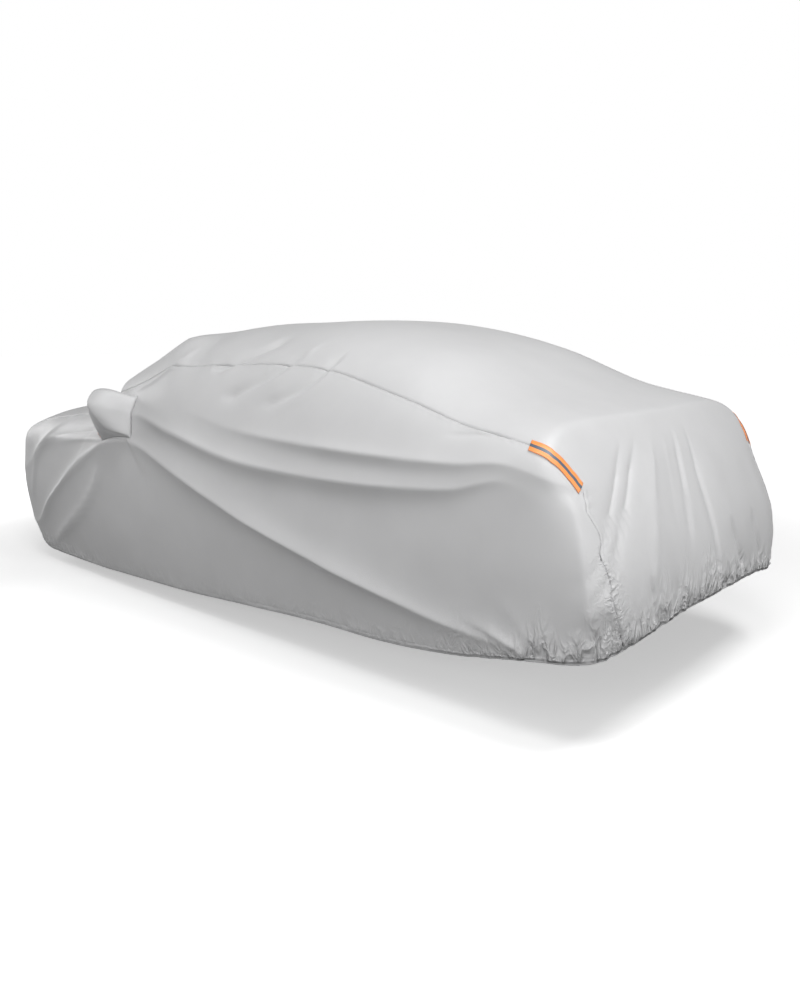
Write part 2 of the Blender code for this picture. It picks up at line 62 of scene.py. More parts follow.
# Ribs from front to rear: the seam, the middle of the top and the hem.
ribs = (
    # seamX seamY seamZ  midX  midZ  hemX  hemY  hemZ
    (3.27, 0.74, 0.77, 3.45, 0.84, 3.30, 0.70, 0.160),
    (3.10, 0.77, 0.86, 3.20, 0.93, 3.12, 0.82, 0.090),
    (2.75, 0.79, 0.94, 2.85, 1.02, 2.75, 0.85, 0.080),
    (2.35, 0.80, 1.02, 2.45, 1.10, 2.38, 0.85, 0.080),
    (2.10, 0.80, 1.09, 2.15, 1.20, 2.12, 0.85, 0.090),
    (1.77, 0.79, 1.18, 1.85, 1.36, 1.78, 0.85, 0.105),
    (1.40, 0.76, 1.28, 1.42, 1.50, 1.42, 0.85, 0.120),
    (0.95, 0.74, 1.32, 0.95, 1.52, 0.97, 0.85, 0.155),
    (0.45, 0.75, 1.31, 0.45, 1.52, 0.45, 0.85, 0.190),
    (0.00, 0.78, 1.22, 0.02, 1.42, 0.02, 0.85, 0.205),
    (-0.35, 0.80, 1.13, -0.35, 1.28, -0.35, 0.85, 0.250),
    (-0.60, 0.81, 1.08, -0.62, 1.18, -0.62, 0.86, 0.310),
    (-0.74, 0.80, 1.03, -0.76, 1.11, -0.82, 0.86, 0.345),
    (-0.83, 0.77, 0.94, -0.86, 0.99, -0.98, 0.69, 0.385),
)
frontEnds = ((3.30, 0.70, 0.16, 3.52, 0.22), (3.36, 0.71, 0.47, 3.58, 0.50), ribs[0][:5])
rearEnds = (
    ribs[-1][:5],
    (-0.88, 0.77, 0.83, -0.92, 0.86),
    (-0.94, 0.78, 0.69, -0.99, 0.70),
    (-0.975, 0.76, 0.53, -1.02, 0.55),
    (-0.98, 0.69, 0.385, -1.00, 0.43),
)
# Where a side's lines meet the seam's two upright ends, and how soon the ends' shape fades along the side.
frontShares = (0, 0.23, 0.70, 0.885, 1)
rearShares = (0, 0.24, 0.77, 0.88, 1)
endFade = 6

# The three long folds of each side: height above the ground and how far they stand out.
leftLines = {
    "x": (-1.00, -0.80, -0.62, -0.35, 0.00, 0.45, 0.95, 1.40, 1.77, 2.10, 2.37, 2.75, 3.11, 3.30),
    "slantZ": (0.520, 0.450, 0.372, 0.376, 0.435, 0.530, 0.65, 0.78, 0.88, 0.85, 0.73, 0.47, 0.25, 0.30),
    "slantOut": (0.0, 0.0, 0.014, 0.030, 0.042, 0.048, 0.048, 0.040, 0.020, 0.012, 0.018, 0.020, 0.012, 0),
    "lowZ": (0.800, 0.880, 0.955, 0.902, 0.870, 0.860, 0.88, 0.96, 1.02, 0.93, 0.87, 0.82, 0.62, 0.59),
    "lowOut": (0.0, 0.0, 0.006, 0.022, 0.032, 0.034, 0.034, 0.028, 0.012, 0.0, 0.008, 0.014, 0.005, 0),
    "highZ": (0.880, 0.970, 1.015, 0.992, 0.982, 0.989, 1.02, 1.09, 1.10, 1.00, 0.94, 0.90, 0.77, 0.70),
    "highOut": (0.0, 0.006, 0.018, 0.030, 0.034, 0.027, 0.009, 0.0, 0, 0, 0, 0, 0, 0),
}
rightLines = {
    "x": leftLines["x"],
    "slantZ": (0.520, 0.470, 0.400, 0.360, 0.430, 0.550, 0.66, 0.77, 0.88, 0.85, 0.72, 0.45, 0.25, 0.30),
    "slantOut": (0.0, 0.0, 0.008, 0.022, 0.032, 0.036, 0.034, 0.026, 0.014, 0.008, 0.016, 0.018, 0.010, 0),
    "lowZ": (0.800, 0.870, 0.930, 0.900, 0.870, 0.860, 0.88, 0.93, 0.99, 0.93, 0.87, 0.82, 0.62, 0.59),
    "lowOut": (0.0, 0.0, 0.008, 0.020, 0.026, 0.028, 0.026, 0.020, 0.010, 0.0, 0.008, 0.012, 0.004, 0),
    "highZ": (0.870, 0.930, 0.985, 1.000, 1.000, 1.000, 1.04, 1.09, 1.10, 1.00, 0.94, 0.90, 0.77, 0.70),
    "highOut": (0.0, 0.0, 0.008, 0.014, 0.018, 0.014, 0.008, 0.0, 0, 0, 0, 0, 0, 0),
}
# How far the cloth bends above and below each of them. The slanting one has a lip on a wide swell.
lineReach = {"slant": (0.170, 0.150), "soft": 0.010, "lip": (0.050, 0.040), "lipShare": 0.4,
             "low": (0.110, 0.040), "high": (0.150, 0.045)}
# Their own edges, which are sharper: share of the fold's height, and reach above and below.
crestForm = {"slant": (0.14, 0.050, 0.030), "low": (0.22, 0.036, 0.020), "high": (0.20, 0.036, 0.020)}
crestRipple = {"size": 0.13, "share": 0.5}
# How round a fold's line is, how fast it falls off, and how it grows from its two ends.
foldForm = {"soft": 0.3, "fall": 1.4, "steps": 13, "growth": 6.4, "least": 0.12, "farthest": 5}
# Where the folds of the sides, the fine ones there and those of the rear face begin, and how soon.
sideFade = (0.35, 0.25)
fineFade = (0.40, 0.15)
rearFade = (-0.77, 0.08)

# Lesser folds: the line from, by and to, its height (a trough is negative) and its reach above and below.
# Those of the sides are drawn in x and z.
leftFolds = (
    (1.38, 1.46, 1.86, 1.250, 2.07, 1.110, 0.080, 0.120, 0.260),
    (2.16, 0.72, 2.37, 0.480, 2.95, 0.130, 0.014, 0.040, 0.040),
    (1.14, 1.22, 1.02, 1.350, 0.90, 1.440, 0.006, 0.060, 0.030),
    (1.00, 1.17, 0.74, 1.265, 0.58, 1.430, 0.012, 0.070, 0.030),
    (0.74, 1.14, 0.49, 1.215, 0.38, 1.390, 0.012, 0.070, 0.030),
    (-0.82, 0.95, -0.89, 0.740, -0.92, 0.470, 0.006, 0.060, 0.040),
    (-0.50, 0.41, -0.60, 0.375, -0.70, 0.335, 0.014, 0.030, 0.030),
)
rightFolds = (
    (1.35, 1.47, 1.75, 1.310, 2.08, 1.100, 0.075, 0.120, 0.260),
    (0.95, 1.28, 0.80, 1.370, 0.70, 1.450, -0.012, 0.040, 0.050),
    (-0.78, 0.91, -0.88, 0.690, -0.92, 0.480, -0.010, 0.045, 0.045),
)
# Those of the rear face are drawn in y and z.
rearFolds = (
    (0.41, 1.07, 0.62, 0.927, 0.77, 0.781, -0.005, 0.030, 0.060),
    (0.31, 1.06, 0.58, 0.873, 0.76, 0.690, -0.006, 0.030, 0.060),
    (0.20, 1.05, 0.43, 0.799, 0.53, 0.573, 0.006, 0.080, 0.080),
    (0.09, 1.04, 0.22, 0.840, 0.25, 0.736, -0.004, 0.035, 0.045),
    (0.00, 1.03, 0.10, 0.870, 0.20, 0.685, -0.005, 0.035, 0.050),
    (-0.14, 1.02, -0.02, 0.737, -0.07, 0.449, -0.009, 0.030, 0.050),
    (-0.20, 0.68, -0.25, 0.600, -0.34, 0.450, -0.014, 0.030, 0.030),
    (-0.46, 0.68, -0.51, 0.580, -0.60, 0.410, -0.014, 0.030, 0.030),
)
# Fine wrinkles of the sides and the shoulder, drawn in x and in the girth z + halfGirth - |y|.
halfGirth = 0.9
leftWrinkles = (
    (1.85, 1.22, 1.54, 1.36, 1.43, 1.60, 0.009, 0.026, 0.014),
    (1.46, 1.42, 1.30, 1.475, 1.15, 1.54, -0.010, 0.016, 0.030),
    (1.24, 1.40, 1.03, 1.54, 0.85, 1.76, -0.020, 0.040, 0.040),
    (1.10, 1.22, 0.82, 1.36, 0.60, 1.62, -0.022, 0.040, 0.045),
    (0.80, 1.20, 0.52, 1.33, 0.40, 1.62, -0.020, 0.040, 0.045),
    (0.30, 1.43, 0.04, 1.37, -0.11, 1.32, -0.005, 0.050, 0.040),
    (-0.28, 1.15, -0.48, 1.185, -0.70, 1.18, -0.007, 0.018, 0.030),
    (-0.24, 1.31, -0.33, 1.26, -0.40, 1.21, -0.003, 0.030, 0.020),
    (2.70, 0.86, 2.45, 0.92, 2.16, 0.96, -0.008, 0.040, 0.020),
    (2.64, 0.83, 2.35, 0.88, 2.10, 0.89, 0.005, 0.016, 0.020),
    (2.50, 1.22, 2.66, 0.95, 2.92, 0.76, 0.010, 0.060, 0.014),
    (2.88, 0.80, 2.99, 0.64, 3.10, 0.44, 0.009, 0.050, 0.014),
    (2.10, 0.88, 2.52, 0.635, 3.06, 0.33, 0.006, 0.016, 0.008),
    (2.17, 0.72, 2.38, 0.48, 2.99, 0.20, 0.006, 0.018, 0.009),
    (-0.81, 1.02, -0.90, 0.77, -0.925, 0.50, 0.013, 0.050, 0.034),
    (-0.42, 0.44, -0.56, 0.41, -0.72, 0.355, 0.007, 0.018, 0.009),
    (-0.56, 0.56, -0.68, 0.45, -0.77, 0.385, 0.007, 0.020, 0.011),
    (-0.945, 0.49, -0.965, 0.56, -0.983, 0.65, -0.012, 0.020, 0.012),
)
rightWrinkles = (
    (1.83, 1.24, 1.60, 1.39, 1.52, 1.63, 0.008, 0.035, 0.020),
    (1.05, 1.28, 0.92, 1.42, 0.80, 1.62, 0.004, 0.035, 0.018),
    (0.66, 1.22, 0.52, 1.34, 0.44, 1.55, 0.005, 0.030, 0.018),
    (2.60, 1.04, 2.74, 0.86, 2.92, 0.70, 0.008, 0.045, 0.030),
)
# Sharper lines along the rear face's folds, drawn in y and z.
rearWrinkles = (
    (0.34, 1.13, 0.66, 0.875, 0.90, 0.61, -0.008, 0.008, 0.012),
    (0.25, 1.12, 0.62, 0.825, 0.89, 0.54, -0.008, 0.008, 0.012),
    (0.06, 1.18, 0.39, 0.84, 0.54, 0.54, 0.004, 0.030, 0.014),
    (0.02, 1.15, 0.19, 0.89, 0.26, 0.72, 0.003, 0.012, 0.025),
    (-0.07, 1.17, 0.09, 0.90, 0.22, 0.67, -0.006, 0.010, 0.010),
    (-0.10, 1.17, 0.06, 0.90, 0.19, 0.66, 0.003, 0.014, 0.020),
    (-0.19, 1.17, -0.04, 0.77, -0.08, 0.44, -0.007, 0.010, 0.010),
    (-0.03, 0.60, -0.05, 0.52, -0.09, 0.44, -0.012, 0.016, 0.012),
    (-0.23, 0.64, -0.27, 0.56, -0.34, 0.45, -0.010, 0.012, 0.014),
    (-0.48, 0.65, -0.53, 0.54, -0.60, 0.41, -0.010, 0.012, 0.014),
    (0.545, 0.60, 0.53, 0.52, 0.505, 0.44, -0.012, 0.012, 0.014),
    (0.34, 0.56, 0.36, 0.50, 0.40, 0.43, -0.006, 0.014, 0.014),
)

# The mirror pocket along its foot from front to rear, and round the lip from its foot's lower edge to its
# upper one: how far it stands out and how far it rises. Its rows are those of the side that it covers.
pocketAlong = {"share": (0.0, 0.12, 0.35, 0.65, 0.88, 1.0),
               "reach": (0.0, 0.050, 0.125, 0.172, 0.108, 0.0),
               "lift": (0.0, 0.055, 0.100, 0.112, 0.062, 0.0)}
pocketRound = {"share": (0.0, 0.10, 0.25, 0.50, 0.78, 1.0),
               "reach": (0.0, 0.55, 0.92, 1.00, 0.62, 0.0),
               "lift": (0.0, 0.30, 0.66, 0.88, 1.00, 0.0)}
pocketRows = (1, 1.1, 1.35, 1.65, 1.88, 2, 2.3, 2.7, 3)


def through(xs, ys, x):
    # A smooth curve through a table's values.
    xs, ys = np.asarray(xs, float), np.asarray(ys, float)
    slope = np.gradient(ys, xs, axis=0)
    i = np.clip(np.searchsorted(xs, x) - 1, 0, len(xs) - 2)
    step = xs[i + 1] - xs[i]
    t = np.clip((x - xs[i]) / step, 0, 1)
    if ys.ndim == 2:
        t, step = t[..., None], step[..., None]
    start = (1 + 2 * t) * (1 - t) ** 2 * ys[i] + t * (1 - t) ** 2 * step * slope[i]
    return start + t * t * (3 - 2 * t) * ys[i + 1] + t * t * (t - 1) * step * slope[i + 1]


def alongRows(rows, shares):
    rows = np.array(rows, float)
    return through(np.arange(len(rows)), rows, np.asarray(shares) * (len(rows) - 1))


# How far the rear seam wanders to the left of its line, by its height.
seamWander = {"z": (0.385, 0.45, 0.53, 0.60, 0.64, 0.68, 0.73, 0.775, 0.80, 0.87, 0.90, 0.94),
              "y": (0, 0, -0.006, 0.004, -0.010, 0.0, 0.018, -0.012, -0.010, 0.020, 0.008, 0.0)}


def endRows(table, shares, lines):
    # The seam's upright end, read at the heights where a side's lines meet it.
    found = alongRows(table, np.interp(lines, range(len(shares)), shares))
    if found[0, 0] < 0:
        found[:, 1] += np.interp(found[:, 2], seamWander["z"], seamWander["y"])
    return found


def fullness(points):
    # 1 on the bulk's surface, less inside it and more outside.
    x, y, z = points[..., 0], np.abs(points[..., 1]), points[..., 2]
    half, top, square = (through(section["x"], section[k], x) for k in ("halfWidth", "top", "squareness"))
    half = half * (1 - bulk["tuck"] * (np.maximum(bulk["belt"] - z, 0) / bulk["tuckDepth"]) ** 2)
    above = np.maximum(z - bulk["belt"], 0) / (top - bulk["belt"])
    girth = ((y / half) ** square + above ** square) ** (1 / square)
    aside = np.clip(y / bulk["cornerWidth"], 0, bulk["cornerMost"]) ** bulk["crown"]
    tail = through(ends["z"], ends["tail"], z) + bulk["tailCorner"] * aside
    nose = through(ends["z"], ends["nose"], z) - bulk["noseCorner"] * aside
    back = np.maximum((bulk["coreX"][0] - x) / (bulk["coreX"][0] - tail), 0)
    front = np.maximum((x - bulk["coreX"][1]) / (nose - bulk["coreX"][1]), 0)
    # The edge round the boot's top is sharp, those down the rear corners are round.
    rearTop = (above / np.maximum(girth, 1e-6)) ** square * (x < bulk["coreX"][0])
    edge = bulk["edge"] + bulk["bootEdge"] * rearTop
    return (girth ** edge + back ** edge + front ** edge) ** (1 / edge)


def bend(off, reach, soft=None):
    # 1 on a fold's line, falling off over its reach above and below.
    soft = soft or foldForm["soft"] * min(reach)
    fall = foldForm["fall"] * (soft - np.sqrt(off ** 2 + soft ** 2))
    return np.exp(fall / np.where(off > 0, *reach))


def fold(across, up, rows):
    # Height of a table of folds at points of a plane.
    height = np.zeros_like(across)
    steps = np.linspace(0, 1, foldForm["steps"])
    for row in rows:
        start, by, end = np.array(row[0:2]), np.array(row[2:4]), np.array(row[4:6])
        rise, above, below = row[6:9]
        farthest = foldForm["farthest"] * max(above, below)
        low = np.minimum(np.minimum(start, by), end) - farthest
        high = np.maximum(np.maximum(start, by), end) + farthest
        near = (across > low[0]) & (across < high[0]) & (up > low[1]) & (up < high[1])
        if not near.any():
            continue
        a, u = across[near], up[near]
        pull = 2 * by - (start + end) / 2
        line = ((1 - steps) ** 2)[:, None] * start + (2 * steps * (1 - steps))[:, None] * pull
        line = line + (steps ** 2)[:, None] * end
        chord = end - start
        normal = np.array([-chord[1], chord[0]])
        flip = 1 if normal[1] + 0.01 * normal[0] > 0 else -1
        nearest, share, side = np.full(a.shape, 9.0), np.zeros_like(a), np.ones_like(a)
        for k in range(len(line) - 1):
            run = line[k + 1] - line[k]
            offA, offU = a - line[k][0], u - line[k][1]
            t = np.clip((offA * run[0] + offU * run[1]) / (run @ run), 0, 1)
            gapA, gapU = offA - t * run[0], offU - t * run[1]
            away = np.hypot(gapA, gapU)
            closer = away < nearest
            nearest = np.where(closer, away, nearest)
            share = np.where(closer, (k + t) / (len(line) - 1), share)
            side = np.where(closer, np.sign((-run[1] * gapA + run[0] * gapU) * flip), side)
        growth = np.minimum(foldForm["growth"] * share * (1 - share), 1)
        grown = foldForm["least"] + (1 - foldForm["least"]) * growth ** 2 * (3 - 2 * growth)
        height[near] += rise * bend(nearest * side, (above, below)) * grown
    return height


def longFolds(x, z, lines):
    slant, low, high = (z - through(lines["x"], lines[k], x) for k in ("slantZ", "lowZ", "highZ"))
    slantOut, lowOut, highOut = (through(lines["x"], lines[k], x) for k in ("slantOut", "lowOut", "highOut"))
    lip = lineReach["lipShare"] * bend(slant, lineReach["lip"])
    height = slantOut * (1 - lineReach["lipShare"]) * bend(slant, lineReach["slant"], lineReach["soft"])
    height += slantOut * lip
    return height + lowOut * bend(low, lineReach["low"]) + highOut * bend(high, lineReach["high"])


def mainRelief(x, y, z):
    left = fold(x, z, leftFolds) + longFolds(x, z, leftLines)
    right = fold(x, z, rightFolds) + longFolds(x, z, rightLines)
    aside = np.clip((np.abs(y) - sideFade[0]) / sideFade[1], 0, 1)
    behind = np.clip((rearFade[0] - x) / rearFade[1], 0, 1)
    return np.where(y > 0, left, right) * aside + fold(y, z, rearFolds) * behind


def bumps(points, size, seed):
    # Smooth seeded unevenness from -1 to 1, with bumps of the given size.
    table = np.random.default_rng(seed).uniform(-1, 1, (32, 32, 32))
    place = points / np.asarray(size) + 100
    cell = np.floor(place).astype(int)
    part = place - cell
    part = part * part * (3 - 2 * part)
    total = np.zeros(points.shape[:-1])
    for corner in np.ndindex(2, 2, 2):
        share = np.prod(np.where(corner, part, 1 - part), axis=-1)
        a, b, c = np.moveaxis((cell + corner) % 32, -1, 0)
        total += share * table[a, b, c]
    return total


# Short pleats that the elastic draws in above the hem: how strong they are along the car,
# how wide two sizes of them are, how high they reach and how deep they are.
pleats = {
    "x": (-1.00, -0.80, -0.45, 0.00, 0.60, 2.20, 2.90, 3.30, 3.60),
    "strength": (1.00, 0.95, 0.70, 0.30, 0.22, 0.25, 0.60, 0.90, 0.90),
    "wide": (0.055, 0.030), "high": (0.085, 0.050), "deep": (0.0095, 0.0075),
    "seeds": (11, 12), "upright": 0.25, "sharp": 2.2, "ragged": 0.6, "fall": 1.4,
}
# Unevenness of the whole cloth: size of the bumps, their height on the hanging parts and on the top, seed.
uneven = ((0.42, 0.0040, 0.0020, 3), (0.17, 0.0018, 0.0007, 5), (0.07, 0.0005, 0.0002, 8))
# The girth under which the cloth hangs, and the slack upright waves of the rear face.
hanging = {"girth": 1.25, "fade": 0.2, "rearFrom": -0.80, "rearFade": 0.10,
           "wave": 0.004, "waveSize": (1, 0.11, 0.55), "seed": 21}
# The hems of the two ends: height in the middle, drop towards the corner, half width, and where they begin.
endHems = {"rear": (0.43, 0.045, 0.69), "front": (0.22, 0.06, 0.70),
           "rearFrom": -0.86, "frontFrom": 3.22, "fade": 0.10}


def hemHeight(x, y):
    side = np.interp(-x, [-r[5] for r in ribs], [r[7] for r in ribs])
    rear, front = (middle - drop * (np.abs(y) / wide) ** 2
                   for middle, drop, wide in (endHems["rear"], endHems["front"]))
    toRear = np.clip((endHems["rearFrom"] - x) / endHems["fade"], 0, 1)
    toFront = np.clip((x - endHems["frontFrom"]) / endHems["fade"], 0, 1)
    return side * (1 - toRear - toFront) + rear * toRear + front * toFront


def crests(x, z, lines):
    # The long folds' own edges, which are sharper than the folds.
    height = 0
    ripple = bumps(np.stack([x, 0 * x, 0 * x], -1), (crestRipple["size"], 1, 1), 61)
    ripple = 1 + crestRipple["share"] * ripple
    for name, (share, *reach) in crestForm.items():
        off = z - through(lines["x"], lines[name + "Z"], x)
        height = height + share * ripple * through(lines["x"], lines[name + "Out"], x) * bend(off, reach)
    return height


def fineRelief(x, y, z):
    girth = z + halfGirth - np.abs(y)
    aside = np.clip((np.abs(y) - fineFade[0]) / fineFade[1], 0, 1)
    left = fold(x, girth, leftWrinkles) + crests(x, z, leftLines)
    right = fold(x, girth, rightWrinkles) + crests(x, z, rightLines)
    height = np.where(y > 0, left, right) * aside
    height += fold(y, z, rearWrinkles) * np.clip((rearFade[0] - x) / rearFade[1], 0, 1)

    # The way round the hem. The right side lies far from the left one, so that its pleats differ.
    around = x + np.abs(y) * -np.tanh((x - 1) / 0.4) + np.where(y > 0, 0, 40)
    rise = np.maximum(z - hemHeight(x, y), 0)
    strength = np.interp(x, pleats["x"], pleats["strength"])
    place = np.stack([around, rise * pleats["upright"], 0 * x], -1)
    for wide, high, deep, seed in zip(*(pleats[k] for k in ("wide", "high", "deep", "seeds"))):
        wave = 1 - pleats["sharp"] * np.abs(bumps(place, (wide, 0.12, 1), seed))
        reach = high * (1 + pleats["ragged"] * bumps(place, (wide * 2.2, 1, 1), seed + 5))
        fall = np.exp(-(rise / reach) ** pleats["fall"])
        height += deep * strength * wave * fall * np.clip(0.3 + rise / 0.03, 0, 1)

    points = np.stack([x, y, z], -1)
    hangs = np.clip((hanging["girth"] - girth) / hanging["fade"], 0, 1)
    for size, side, top, seed in uneven:
        height += (top + (side - top) * hangs) * bumps(points, size, seed)
    behind = np.clip((hanging["rearFrom"] - x) / hanging["rearFade"], 0, 1)
    height += hanging["wave"] * behind * bumps(points, hanging["waveSize"], hanging["seed"])
    return height


def drape(guides, fine=True):
    # Each guide point, moved from the car's axis out to the cloth.
    axis = np.zeros_like(guides)
    axis[..., 0] = np.clip(guides[..., 0], *bulk["coreX"])
    axis[..., 2] = np.clip(guides[..., 2], *bulk["coreZ"])
    way = guides - axis
    way /= np.linalg.norm(way, axis=-1, keepdims=True)
    near, far = np.zeros(guides.shape[:-1]), np.full(guides.shape[:-1], 3.0)
    for _ in range(30):
        middle = (near + far) / 2
        outside = fullness(axis + way * middle[..., None]) > 1
        far, near = np.where(outside, middle, far), np.where(outside, near, middle)
    surface = axis + way * far[..., None]
    x, y, z = np.moveaxis(surface, -1, 0)
    height = mainRelief(x, y, z)
    if fine:
        height = height + fineRelief(x, y, z)
    return surface + way * height[..., None] - origin


def topGuides(frontLines, shares, rearLines, columns):
    # Rows from the front hem over the roof to the rear hem, columns from left to right.
    front = endRows(frontEnds, frontShares, frontLines)
    roof = alongRows([r[:5] for r in ribs], shares)
    rear = endRows(rearEnds[::-1], rearShares, rearLines)
    rows = np.concatenate([front, roof, rear])
    seam, middle = rows[:, None, 0:3], rows[:, None, 3:5]
    v = columns[None, :]
    x = middle[..., 0] + (seam[..., 0] - middle[..., 0]) * v ** 2
    z = middle[..., 1] + (seam[..., 2] - middle[..., 1]) * np.abs(v) ** bulk["crown"]
    return np.stack([x, seam[..., 1] * v, z], -1)


def sideGuides(lines, levels, shares):
    # Rows from the hem up to the seam, columns from front to rear, drawn on the left side.
    shares = np.concatenate([[0], shares, [1]])
    found = alongRows(ribs, shares)
    seam, hem = found[:, 0:3], found[:, 5:8]
    across = (seam[:, 0] + hem[:, 0]) / 2
    marks = [hem[:, 2]] + [through(lines["x"], lines[k], across) for k in ("slantZ", "lowZ", "highZ")]
    marks = (np.array(marks + [seam[:, 2]]) - hem[:, 2]) / (seam[:, 2] - hem[:, 2])
    w = np.array([np.interp(levels, range(5), column) for column in marks.T])[..., None]
    ruled = hem[:, None] * (1 - w) + seam[:, None] * w
    front = endRows(frontEnds, frontShares, levels)[:, 0:3] - ruled[0]
    rear = endRows(rearEnds[::-1], rearShares, levels)[:, 0:3] - ruled[-1]
    u = shares[:, None, None]
    return (ruled + (1 - u) ** endFade * front + u ** endFade * rear)[1:-1].swapaxes(0, 1)


def denser(count, low, high, marks):
    # Steps from low to high that lie closer together near the marks: (where, how wide, how much).
    fine = np.linspace(low, high, 4000)
    weight = np.ones_like(fine)
    for where, wide, much in marks:
        weight += much * np.exp(-((fine - where) / wide) ** 2)
    total = np.concatenate([[0], np.cumsum((weight[1:] + weight[:-1]) / 2)])
    return np.interp(np.linspace(0, total[-1], count), total, fine)


def evenShares(count):
    # Shares of the way from the front rib to the rear one, evenly spaced along the cloth.
    fine = np.linspace(0, 1, 600)
    line = alongRows(ribs, fine)
    run = [np.linalg.norm(np.diff(line[:, k], axis=0), axis=1) for k in (slice(0, 3), slice(5, 8))]
    total = np.concatenate([[0], np.cumsum(run[0] + run[1])])
    return np.interp(np.linspace(0, total[-1], count), total, fine)


inside = (0, 0, -0.7)   # a point in the middle of the cover, in the row's own frame


def normals(grid):
    made = np.cross(np.gradient(grid, axis=0), np.gradient(grid, axis=1))
    made /= np.linalg.norm(made, axis=-1, keepdims=True)
    return made * np.sign((made * (grid - inside)).sum())


def lengthFrom(grid, edge, axis):
    # How far each point of a grid lies from one of its edges, along its rows or columns.
    step = np.linalg.norm(np.diff(grid, axis=axis), axis=-1)
    zero = np.zeros_like(np.take(step, [0], axis=axis))
    run = np.concatenate([zero, np.cumsum(step, axis=axis)], axis=axis)
    return run if edge == 0 else np.take(run, [-1], axis=axis) - run


# The seam's dip, the swell beside it, and its puckers with their strength along the car.
seamForm = {"dip": 0.0020, "wide": 0.0035, "swell": 0.0013, "beside": 0.010, "swellWide": 0.006,
            "pucker": 0.0019, "reach": 0.030, "every": 0.024, "wider": 2.3, "widerShare": 0.6,
            "x": (-1.0, -0.75, -0.3, 2.5, 3.3), "strength": (1.9, 1.2, 0.8, 0.8, 1.4)}


def sewn(away, seam):
    # How the cloth dips at a seam, swells beside it and puckers along it.
    place = np.stack([seam[..., 0] + 0.8 * seam[..., 2], 0 * seam[..., 0], np.sign(seam[..., 1])], -1)
    every, wider = seamForm["every"], seamForm["every"] * seamForm["wider"]
    wave = bumps(place, (every, 1, 0.7), 31) + seamForm["widerShare"] * bumps(place, (wider, 1, 0.7), 32)
    strength = np.interp(seam[..., 0] + origin[0], seamForm["x"], seamForm["strength"])
    height = -seamForm["dip"] * np.exp(-(away / seamForm["wide"]) ** 2)
    height += seamForm["swell"] * np.exp(-((away - seamForm["beside"]) / seamForm["swellWide"]) ** 2)
    return height + seamForm["pucker"] * strength * wave * np.exp(-away / seamForm["reach"])


# The rolled hem: its radius, how far it turns in, and the row of stitches that draws it in.
hemForm = {"radius": 0.0062, "turns": 205, "steps": 7, "stitch": 0.020, "draw": 0.0012, "drawWide": 0.003}


def rolled(grid, hem):
    # The hem's last rows, rolled inwards over the elastic. hem is 0 or -1 of the grid's rows.
    first, second = (grid[0], grid[1]) if hem == 0 else (grid[-1], grid[-2])
    down = first - second
    down /= np.linalg.norm(down, axis=-1, keepdims=True)
    out = normals(grid)[hem]
    radius = hemForm["radius"]
    made = []
    for k in range(1, hemForm["steps"] + 1):
        angle = math.radians(hemForm["turns"] * k / hemForm["steps"])
        made.append(first - out * radius * (1 - math.cos(angle)) + down * radius * math.sin(angle))
    made = np.array(made)
    return np.concatenate([made[::-1], grid]) if hem == 0 else np.concatenate([grid, made])


def stitchedHem(away):
    return -hemForm["draw"] * np.exp(-((away - hemForm["stitch"]) / hemForm["drawWide"]) ** 2)


# How far from the seam and above the hem the cloth crinkles, and how strongly: at the hem along the car,
# at the seam by its height.
gatherForm = {"seam": 0.035, "hemFrom": 0.010, "hem": 0.075, "fall": 1.6, "ragged": 0.5,
              "x": (-1.00, -0.90, -0.60, -0.20, 0.60, 2.40, 3.10, 3.60),
              "hemShare": (1.0, 1.0, 0.50, 0.15, 0.08, 0.08, 0.4, 0.8),
              "z": (0.45, 0.68, 0.80), "seamShare": (1.0, 0.75, 0.12)}


def gathered(cloth, seamAway, hemAway):
    # For each point how much the seam and the hem crinkle the cloth there.
    x, z = cloth[..., 0] + origin[0], cloth[..., 2] + origin[2]
    seam = np.exp(-seamAway / gatherForm["seam"]) * np.interp(z, gatherForm["z"], gatherForm["seamShare"])
    ragged = gatherForm["ragged"] * bumps(cloth * (1, 1, 0), (0.09, 0.09, 1), 71)
    reach = gatherForm["hem"] * (1 + ragged)
    hem = np.exp(-(np.maximum(hemAway - gatherForm["hemFrom"], 0) / reach) ** gatherForm["fall"])
    hem *= np.clip(hemAway / gatherForm["hemFrom"], 0.2, 1)
    return np.stack([seam, hem * np.interp(x, gatherForm["x"], gatherForm["hemShare"])], -1)


def blockFaces(shapes):
    # Faces of blocks of grid rows, where each block has its own number of columns.
    faces, start = [], 0
    for (rows, columns), after in zip(shapes, list(shapes[1:]) + [None]):
        for i in range(rows - 1):
            a = start + i * columns
            faces += [(a + j, a + columns + j, a + columns + j + 1, a + j + 1) for j in range(columns - 1)]
        a, b = start + (rows - 1) * columns, start + rows * columns
        start = b
        if after is None:
            continue
        more = max(columns - 1, after[1] - 1) // min(columns - 1, after[1] - 1)
        half = more // 2
        for j in range(min(columns, after[1]) - 1):
            if more == 1:
                faces.append((a + j, b + j, b + j + 1, a + j + 1))
            elif columns > after[1]:
                c = a + j * more
                faces += [(c + m, b + j + (m >= half), c + m + 1) for m in range(more)]
                faces.append((c + half, b + j, b + j + 1))
            else:
                c = b + j * more
                faces += [(a + j + (m >= half), c + m, c + m + 1) for m in range(more)]
                faces.append((a + j, c + half, a + j + 1))
    return faces


